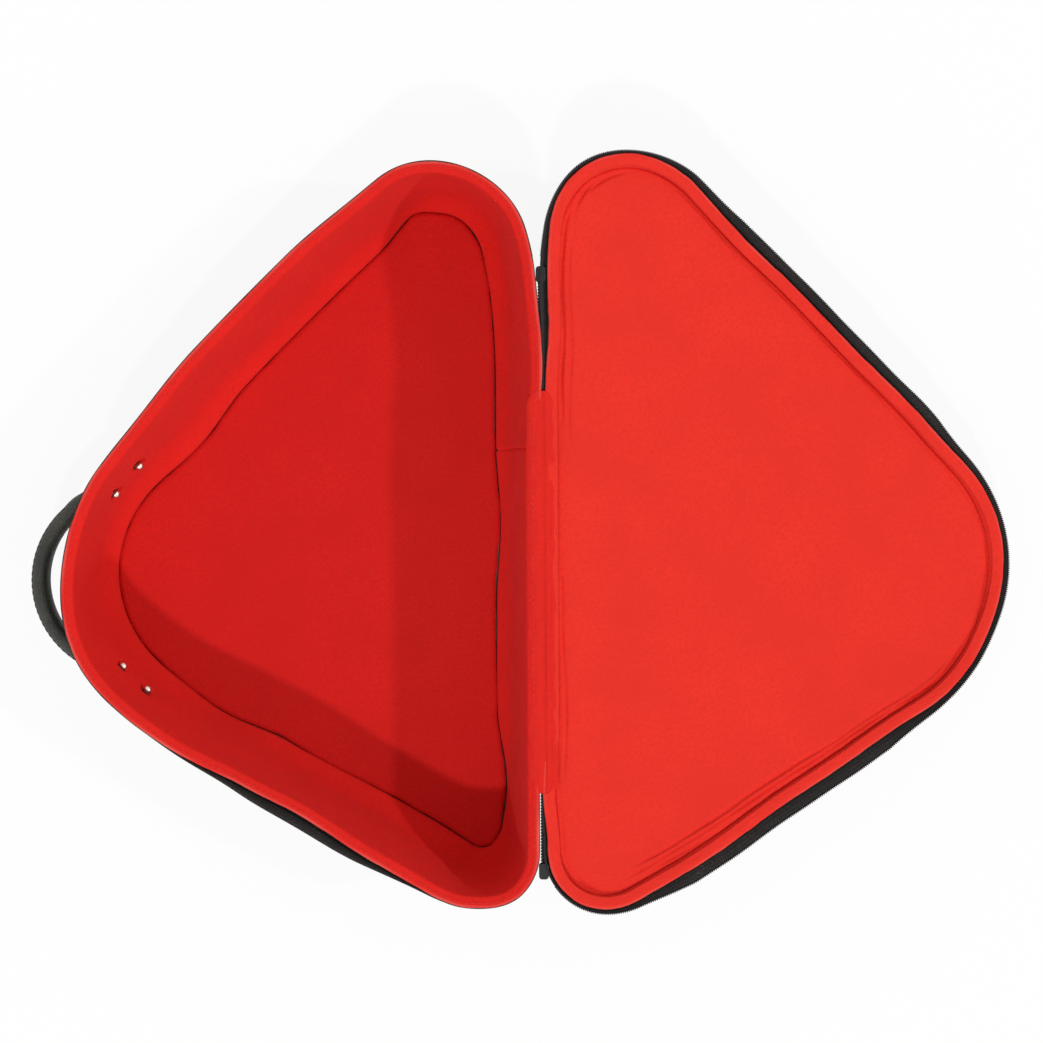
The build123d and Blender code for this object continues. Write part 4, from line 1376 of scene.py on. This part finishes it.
    def build_zip(self) -> None:
        """The lid's zip tape, which leans out as an unzipped tape does, and its teeth."""
        start, end = OUTLINE.free_sides(self.hinge_high, self.hinge_low)
        run = OUTLINE.stations(start, end, 2.5 * MM)
        low, high = self.rim + self.tape_low, self.rim + self.tape_rise
        fade = window(run.s, start, end, 40 * MM)
        flare = self.corner_flare + bowed(LID_TAPE_LEANS, run.s) - self.root_flare
        flare = self.root_flare + (flare + 0.35 * MM * ripple(run.s, 0.0, 0.05, 81)) * fade
        outside, inside = [], []
        for share in np.linspace(0, 1, 9):
            z = high + (low - high) * share
            lean = self.inset(z, run.s) - flare * share**1.3
            rib = 0.07 * MM * math.sin(share * 5 * math.tau)
            outside.append((lean - self.tape - rib, z))
            inside.append((lean, z))
        profile = inside + outside[::-1]
        self.band("lid_zip_band", run, profile, self.wardrobe.tape, Slot.TAPE, "lid_zip_tape")
        keep = (run.s > start + self.teeth_start) & (run.s < end - self.teeth_end)
        edge = run.at(-flare + self.inset(low, run.s) - 0.6 * MM, low - 0.3 * MM)[keep]
        self.set_teeth("lid_zip_teeth", edge, "lid_zip_coil")
        z = high - 1.8 * MM
        path = run.at(self.inset(z, run.s) - flare * 0.12 - self.tape - 0.05 * MM, z)
        self.sew("lid_zip_stitches", path)


@dataclass
class ClothHinge:
    """Red cloth that bridges the two rims over the black hinge cloth."""

    wardrobe: Wardrobe
    fold: Vector
    tilt: float
    low: float = -164.5 * MM
    high: float = 92.0 * MM
    end_round: float = 9.0 * MM
    gap: float = 3.0 * MM
    rim_gap: float = 0.3 * MM
    overlap: float = 6.6 * MM
    thickness: float = 0.9 * MM

    def lift(self, a: float, ys: Array) -> Array:
        """How far the cloth stands up along one of its threads, which runs beside the fold.

        Args:
            a: The thread's distance from the fold, towards the lid.
            ys: Places along the hinge.

        Returns:
            Two ridges, the sag between the rims, fine crumples and the drop at the cloth's edge.
        """
        total = 0.22 * MM * ripple(ys, a * 3, 0.02, 94)
        ridges = ((0.8, 3.0, 1.0, 0.7, 0.3), (0.7, 6.4, 0.9, 0.6, 0.4), (-0.7, 0.0, 1.6, 0.8, 0.3))
        for number, (height, middle, width, steady, uneven) in enumerate(ridges):
            strength = steady + uneven * ripple(ys, 0.0, 0.04 + 0.01 * number, 91 + number)
            total = total + height * MM * hill(a - middle * MM, width * MM) * strength
        reach = self.gap + self.overlap
        edge = 0.4 * MM * window(abs(a), reach - 1.6 * MM, 1.0, 1.6 * MM)
        return total - edge - 1.3 * MM * max(0.0, (abs(a) - self.gap) / self.overlap) ** 2.2

    def build(self) -> None:
        """Makes the red cloth from the base's lining to the lid's panel, and dresses the black strip."""
        near = np.array([0, 0.3, 0.8, 1.5, 2.4, 3.5, 5.0, 7.0]) * MM
        inner = np.arange(self.low + 9 * MM, self.high - 8 * MM, 2.0 * MM)
        ys = np.r_[self.low + near, inner, self.high - near[::-1]]
        near_end = np.minimum(ys - self.low, self.high - ys)
        rounded = np.sqrt(np.clip(1 - (1 - near_end / self.end_round).clip(0, 1) ** 2, 0, 1))
        reach = self.gap + self.overlap
        narrow = (self.gap - 1.0 * MM + (self.overlap + 1.0 * MM) * rounded) / reach
        rows = []
        for a in np.linspace(-reach, reach, 47):
            z = self.fold.z - self.rim_gap + 0.1 * MM - np.maximum(a * narrow, 0) * math.tan(self.tilt)
            rows.append(np.stack([self.fold.x + a * narrow, ys, z + self.lift(a, ys)], axis=1))
        top = np.stack(rows)
        under = top - np.array([0, 0, self.thickness])
        draft = MeshDraft()
        draft.add_sleeve(np.concatenate([top, under[::-1]]), ys)
        piece = draft.make("hinge_lining")
        piece.data.flip_normals()
        dress(piece, self.wardrobe.hinge_lining)
        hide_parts("base_hinge_lining", "lid_hinge_lining")
        reach = 1.2 * MM
        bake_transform(piece)
        dress_nodes(hinge_fold_tape=self.wardrobe.outer_flat)
        LOG.info("hinge_lining bends between base and lid")


def outward(piece: Piece) -> Piece:
    """Turns a closed piece's faces outwards, going by its signed volume."""
    mesh = piece.data
    mesh.calc_loop_triangles()
    points = np.array([vertex.co for vertex in mesh.vertices])
    corners = points[np.array([triangle.vertices for triangle in mesh.loop_triangles])]
    if np.einsum("ij,ij->i", corners[:, 0], np.cross(corners[:, 1], corners[:, 2])).sum() < 0:
        mesh.flip_normals()
    return piece


RIVET_INNER = ((3.4, 0.3), (3.2, 1.3), (2.5, 2.3), (1.3, 3.0), (0.0, 3.2))
RIVET_HEAD = ((0.0, 4.2), (0.7, 3.9), (1.3, 2.9), (1.7, 1.5), (1.8, 0.4))


@dataclass
class Handle:
    """Leatherette handle: a flat strap riveted to the wall, padded round its bow."""

    wardrobe: Wardrobe
    notions: Notions
    base: Base
    strap_height: float = 18.0 * MM
    strap: float = 2.6 * MM
    tab_start: float = 31.0
    tab_end: float = 57.0
    tab_step: float = 0.6
    bow_out: float = 126.0 * MM
    grip_height: float = 22.0 * MM
    grip: float = 11.0 * MM
    upper_reach: float = 5.0 * MM
    lower_reach: float = 9.0 * MM
    section_points: int = 28
    rivet_depth: float = 9.2 * MM
    rivet_points: int = 20
    shank_radius: float = 1.95
    shank_play: float = 0.02 * MM

    def tab(self, turns: Array) -> list[tuple[float, float]]:
        """The strap's middle line on the wall, at turns in degrees from the handle's middle."""
        out, points = self.strap / 2 - self.base.handle_inset(), []
        for turn in turns:
            _, x, y, angle = self.base.wall_place(self.base.handle_direction + turn)
            points.append((x + out * math.cos(angle), y + out * math.sin(angle)))
        return points

    def centreline(self) -> tuple[Array, Array]:
        """The strap's middle line from tab to tab, and how much each point leans with the wall.

        Returns:
            Points in the plane of the handle, and a share from 0, upright, to 1, on the wall.
        """
        apex, end = OUTLINE.apex_corner, math.radians(self.tab_start)
        upper = self.tab(-np.arange(self.tab_end, self.tab_start + 2, -self.tab_step))
        lower = self.tab(np.arange(self.tab_start + 2, self.tab_end, self.tab_step))
        reach = apex.radius - self.base.handle_inset() + self.strap / 2
        chord, sagitta = reach * math.sin(end), self.bow_out - reach * math.cos(end)
        radius = (chord**2 + sagitta**2) / (2 * sagitta)
        middle, shift = math.radians(self.base.handle_direction), self.bow_out - radius
        half = math.asin(min(1.0, chord / radius))
        bent = []
        for angle in np.linspace(middle - half, middle + half, 90)[3:-3]:
            x = apex.x + shift * math.cos(middle) + radius * math.cos(angle)
            bent.append((x, apex.y + shift * math.sin(middle) + radius * math.sin(angle)))
        lean = np.array([1.0] * len(upper) + [0.0] * len(bent) + [1.0] * len(lower))
        return self.even(np.array(upper + bent + lower), lean)

    def even(self, line: Array, lean: Array) -> tuple[Array, Array]:
        """The line at steps of a millimetre, with its two sharp turns eased but not its ends."""
        walked = path_lengths(line)
        steps = np.linspace(0, walked[-1], round(walked[-1] / MM) + 1)
        kernel = np.hanning(13)
        kernel /= kernel.sum()
        smooth = []
        for values, kept in ((line[:, 0], 8), (line[:, 1], 8), (lean, 0)):
            values = np.interp(steps, walked, values)
            padded = np.r_[[values[0]] * 6, values, [values[-1]] * 6]
            eased = np.convolve(padded, kernel, "valid")
            if kept:
                eased[:kept], eased[-kept:] = values[:kept], values[-kept:]
            smooth.append(eased)
        return np.stack(smooth[:2], axis=1), smooth[2]

    def normals(self, line: Array) -> Array:
        """Directions away from the case along the handle's line."""
        tangent = np.gradient(line, axis=0)
        tangent /= np.linalg.norm(tangent, axis=1)[:, None]
        out = np.stack([tangent[:, 1], -tangent[:, 0]], axis=1)
        return -out if out[len(out) // 2][0] > 0 else out

    def sweep(self, name: str, line: Array, lean: Array, sections: Sequence[Array]) -> Piece:
        """Carries a section, given for each point, along the handle's line.

        Args:
            name: Name of the piece.
            line: Points in the plane of the handle.
            lean: Share of the wall's lean at each point.
            sections: Out and up coordinates of the section at each point.

        Returns:
            The swept piece, closed at both ends.
        """
        rows = []
        for point, normal, share, section in zip(line, self.normals(line), lean, sections):
            angle = self.base.slope() * share
            right = section[:, 0] * math.cos(angle) + section[:, 1] * math.sin(angle)
            up = section[:, 1] * math.cos(angle) - section[:, 0] * math.sin(angle)
            rows.append(np.c_[point + right[:, None] * normal, self.base.handle_z + up])
        draft = MeshDraft()
        draft.add_sleeve(np.stack(rows).transpose(1, 0, 2), path_lengths(line), flip=True)
        return outward(draft.make(name))

    def section(self, thick: float, high: float, power: float) -> Array:
        """A rounded section, squarer with a higher power."""
        angles = np.linspace(0, math.tau, self.section_points, endpoint=False)
        sides = [np.sign(part) * np.abs(part) ** (2 / power) for part in (np.cos(angles), np.sin(angles))]
        return np.stack([sides[0] * thick / 2, sides[1] * high / 2], axis=1)

    def build(self) -> None:
        """Makes strap, grip, stitches and rivets."""
        line, lean = self.centreline()
        walked = np.arange(len(line)) * MM
        strap = []
        for near_end in np.minimum(walked, walked[-1] - walked):
            round_off = math.sqrt(max(0.02, 1 - max(0.0, 1 - near_end / (9 * MM)) ** 2))
            strap.append(self.section(self.strap, self.strap_height * round_off, 8.0))
        piece = self.sweep("handle_strap_leather", line, lean, strap)
        place_piece(piece, self.wardrobe.leather, "base", Slot.LEATHER, "handle_strap")
        inside = np.nonzero(lean < 0.5)[0]
        first, last = inside[0] - round(self.upper_reach / MM), inside[-1] + round(self.lower_reach / MM)
        grip = []
        for number in range(first, last + 1):
            near_end = min(number - first, last - number) * MM
            swell = 1 - 0.55 * (1 - min(1.0, near_end / (20 * MM))) ** 2
            tall = 1 - 0.14 * (1 - min(1.0, near_end / (9 * MM))) ** 2
            section = self.section(self.grip * swell, self.grip_height * tall, 2.6)
            section[:, 0] += (self.grip * swell - self.strap) / 2 * max(0.0, 1 - near_end / (22 * MM))
            grip.append(section)
        piece = self.sweep("handle_grip_pad", line[first : last + 1], lean[first : last + 1], grip)
        place_piece(piece, self.wardrobe.leather, "base", Slot.LEATHER, "handle_grip")
        self.build_stitches(line, slice(first + 10, last - 9))
        self.build_rivets()

    def build_stitches(self, line: Array, inner: slice) -> None:
        """Two rows of stitches along the grip's upper and lower edges."""
        flat = line[inner] + self.normals(line)[inner] * self.grip * 0.395
        for word, side in (("upper", 1), ("lower", -1)):
            rise = side * (self.grip_height / 2 - 2.6 * MM)
            path = np.c_[flat, np.full(len(flat), self.base.handle_z + rise)]
            piece = run_tree(f"grip_stitches_{word}", self.notions.black_stitch, path, False, None)
            place_piece(piece, self.wardrobe.black_thread, "base", Slot.LEATHER)

    def build_rivets(self) -> None:
        """Four domed nickel rivets with their shanks and inner ends."""
        slope, wall, z = self.base.slope(), self.base.handle_inset(), self.base.handle_z
        draft = MeshDraft()
        for _, x, y, angle in self.base.rivets:
            centre = Vector((x - wall * math.cos(angle), y - wall * math.sin(angle), z))
            level = Vector((math.cos(angle) * math.cos(slope), math.sin(angle) * math.cos(slope), 0))
            self.add_rivet(draft, centre, level - Vector((0, 0, math.sin(slope))))
        piece = outward(draft.make("rivet_set"))
        place_piece(piece, self.wardrobe.nickel, "base", Slot.NICKEL, "handle_rivets")

    def add_rivet(self, draft: MeshDraft, centre: Vector, out: Vector) -> None:
        """Adds one rivet, turned about its axis from the inner end's crown to the outer head's."""
        inner = [(-self.rivet_depth - along * MM, radius) for along, radius in RIVET_INNER]
        ends = (self.shank_play - self.rivet_depth, self.strap - self.shank_play)
        shank = [(along, self.shank_radius) for along in ends]
        head = [(self.strap + along * MM, radius) for along, radius in RIVET_HEAD]
        side = out.cross(Vector((0, 0, 1))).normalized()
        up, count = side.cross(out), self.rivet_points
        turns = [math.tau * i / count for i in range(count)]
        rims = [side * math.cos(turn) + up * math.sin(turn) for turn in turns]
        profile = inner + shank + head
        rows = [[centre + out * along + rim * radius * MM for rim in rims] for along, radius in profile]
        grid = np.array(rows)
        v = np.arange(len(grid)) * MM
        first = draft.add_grid(grid, np.arange(count) * MM, v, True, False, count * MM)
        draft.add_end(range(first, first + count), flip=True)
        last = first + (len(grid) - 1) * count
        draft.add_end(range(last, last + count), flip=False)


@dataclass
class ZipEnds:
    """Closed stretches of zip beside the hinge, with the sliders and their pulls."""

    wardrobe: Wardrobe
    notions: Notions

    def build(self) -> None:
        """Makes the closed teeth and dresses sliders and pulls."""
        for word in ("upper", "lower"):
            node = "zip_end_coil_" + word
            low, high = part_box(node)
            middle_x, middle_z = (low.x + high.x) / 2, (low.z + high.z) / 2
            ys = np.arange(low.y + 0.8 * MM, high.y, 3.0 * MM)
            for row, shift, ahead in (("base", -0.7 * MM, 0.0), ("lid", 0.7 * MM, 0.95 * MM)):
                path = np.c_[np.full(len(ys), middle_x + shift), ys + ahead, np.full(len(ys), middle_z)]
                name = f"closed_teeth_{word}_{row}"
                piece = run_tree(name, self.notions.teeth, path, False, None, **CLOSED_TOOTH)
                place_piece(piece, self.wardrobe.coil, "hinge_fold", Slot.COIL, node)
            dress_nodes(**{f"zip_{part}_{word}": self.wardrobe.black_metal for part in ("slider", "pull")})


@dataclass
class Studio:
    """Camera over the case, plain light and a white floor."""

    camera_place: Vector = field(default_factory=lambda: Vector((125.5, 44.3, 1474.7)) * MM)
    camera_turn: tuple[float, float, float] = (-1.46, -0.732, -0.338)
    focal_pixels: float = 2173.9
    sky: float = 0.6
    sky_colour: Rgb = (1.0, 0.99, 0.98)
    floor_colour: Rgb = (0.9, 0.9, 0.9)
    floor_side: float = 8.0
    floor_drop: float = 0.4 * MM
    glow: float = 0.9
    sun_spread: float = 3.0
    right_light: float = 0.84
    front_light: float = 1.1

    def build(self) -> None:
        """Makes camera, lights, world and floor."""
        bpy.context.scene.view_settings.view_transform = "Standard"
        self.build_camera()
        self.build_world()
        self.build_sun("light_from_right", (0.0, 47.5, 0.0), self.right_light)
        self.build_sun("light_from_front", (35.0, 0.0, -6.0), self.front_light)
        self.build_floor()

    def link_turned(self, name: str, data: bpy.types.ID, degrees: Sequence[float]) -> Piece:
        """Adds a camera or lamp, turned by three angles."""
        piece = bpy.data.objects.new(name, data)
        piece.rotation_euler = Euler([math.radians(angle) for angle in degrees])
        bpy.context.scene.collection.objects.link(piece)
        return piece

    def build_camera(self) -> None:
        """Camera at the photograph's viewing angle."""
        data = bpy.data.cameras.new("camera")
        data.sensor_width = SENSOR
        data.lens = SENSOR * self.focal_pixels / PHOTO_SIDE
        data.clip_start, data.clip_end = 0.01, 20.0
        camera = self.link_turned("camera", data, self.camera_turn)
        camera.location = self.camera_place
        bpy.context.scene.camera = camera

    def build_world(self) -> None:
        """Even pale light all round, white where the camera looks past the object."""
        world = bpy.data.worlds.new("studio")
        bpy.context.scene.world = world
        world.use_nodes = True
        graph = ShaderGraph(world.node_tree)
        light = graph.result("Background", {"Color": self.sky_colour, "Strength": self.sky})
        white = graph.result("Background", {"Color": WHITE, "Strength": 1.0})
        graph.close("OutputWorld", graph.seen_directly(), light, white)

    def build_sun(self, name: str, turn: tuple[float, float, float], strength: float) -> None:
        """One broad lamp far away, turned by three angles in degrees."""
        data = bpy.data.lights.new(name, "SUN")
        data.energy = strength
        data.angle = math.radians(self.sun_spread)
        self.link_turned(name, data, turn)

    def build_floor(self) -> None:
        """White floor under the case that still takes a faint shadow."""
        draft = MeshDraft()
        ends, unit = (-self.floor_side, self.floor_side), np.array([0, 1.0])
        draft.add_grid(np.array([[[x, y, 0] for x in ends] for y in ends]), unit, unit, False, False)
        floor = draft.make("studio_floor", Matrix.Translation((0, 0, -self.floor_drop)))
        graph = MaterialGraph("studio_white")
        diffuse = graph.result("BsdfDiffuse", {"Color": self.floor_colour})
        bright = graph.result("Emission", {"Color": WHITE, "Strength": 1.0})
        share = graph.math("MULTIPLY", graph.seen_directly(), self.glow)
        graph.close("OutputMaterial", share, diffuse, bright)
        dress(floor, graph.material)


def opening_matrix(joint: dict) -> tuple[Matrix, Vector, float]:
    """Turn that opens the lid from its closed place to where it lies at rest.

    Args:
        joint: The lid's hinge as the record gives it.

    Returns:
        The matrix, the hinge's place and the lid's tilt below level in radians.
    """
    pivot = Vector(joint["pos_m"])
    full = math.radians(joint["range_deg"][1])
    turn = Matrix.Rotation(full, 4, "Y")
    return Matrix.Translation(pivot) @ turn @ Matrix.Translation(-pivot), pivot, full - math.pi


def main() -> None:
    """Builds the case around its frame."""
    logging.basicConfig(level=logging.INFO, format="%(name)s: %(message)s")
    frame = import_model()
    hinge = next(joint for joint in frame["joints"] if joint["name"] == "lid_hinge")
    opening, fold, tilt = opening_matrix(hinge)
    Studio().build()
    wardrobe = Wardrobe()
    notions = Notions(wardrobe)
    base = Base(wardrobe, notions, None)
    base.build()
    Lid(wardrobe, notions, opening).build()
    ClothHinge(wardrobe, fold, tilt).build()
    Handle(wardrobe, notions, base).build()
    ZipEnds(wardrobe, notions).build()


if __name__ == "__main__":
    main()
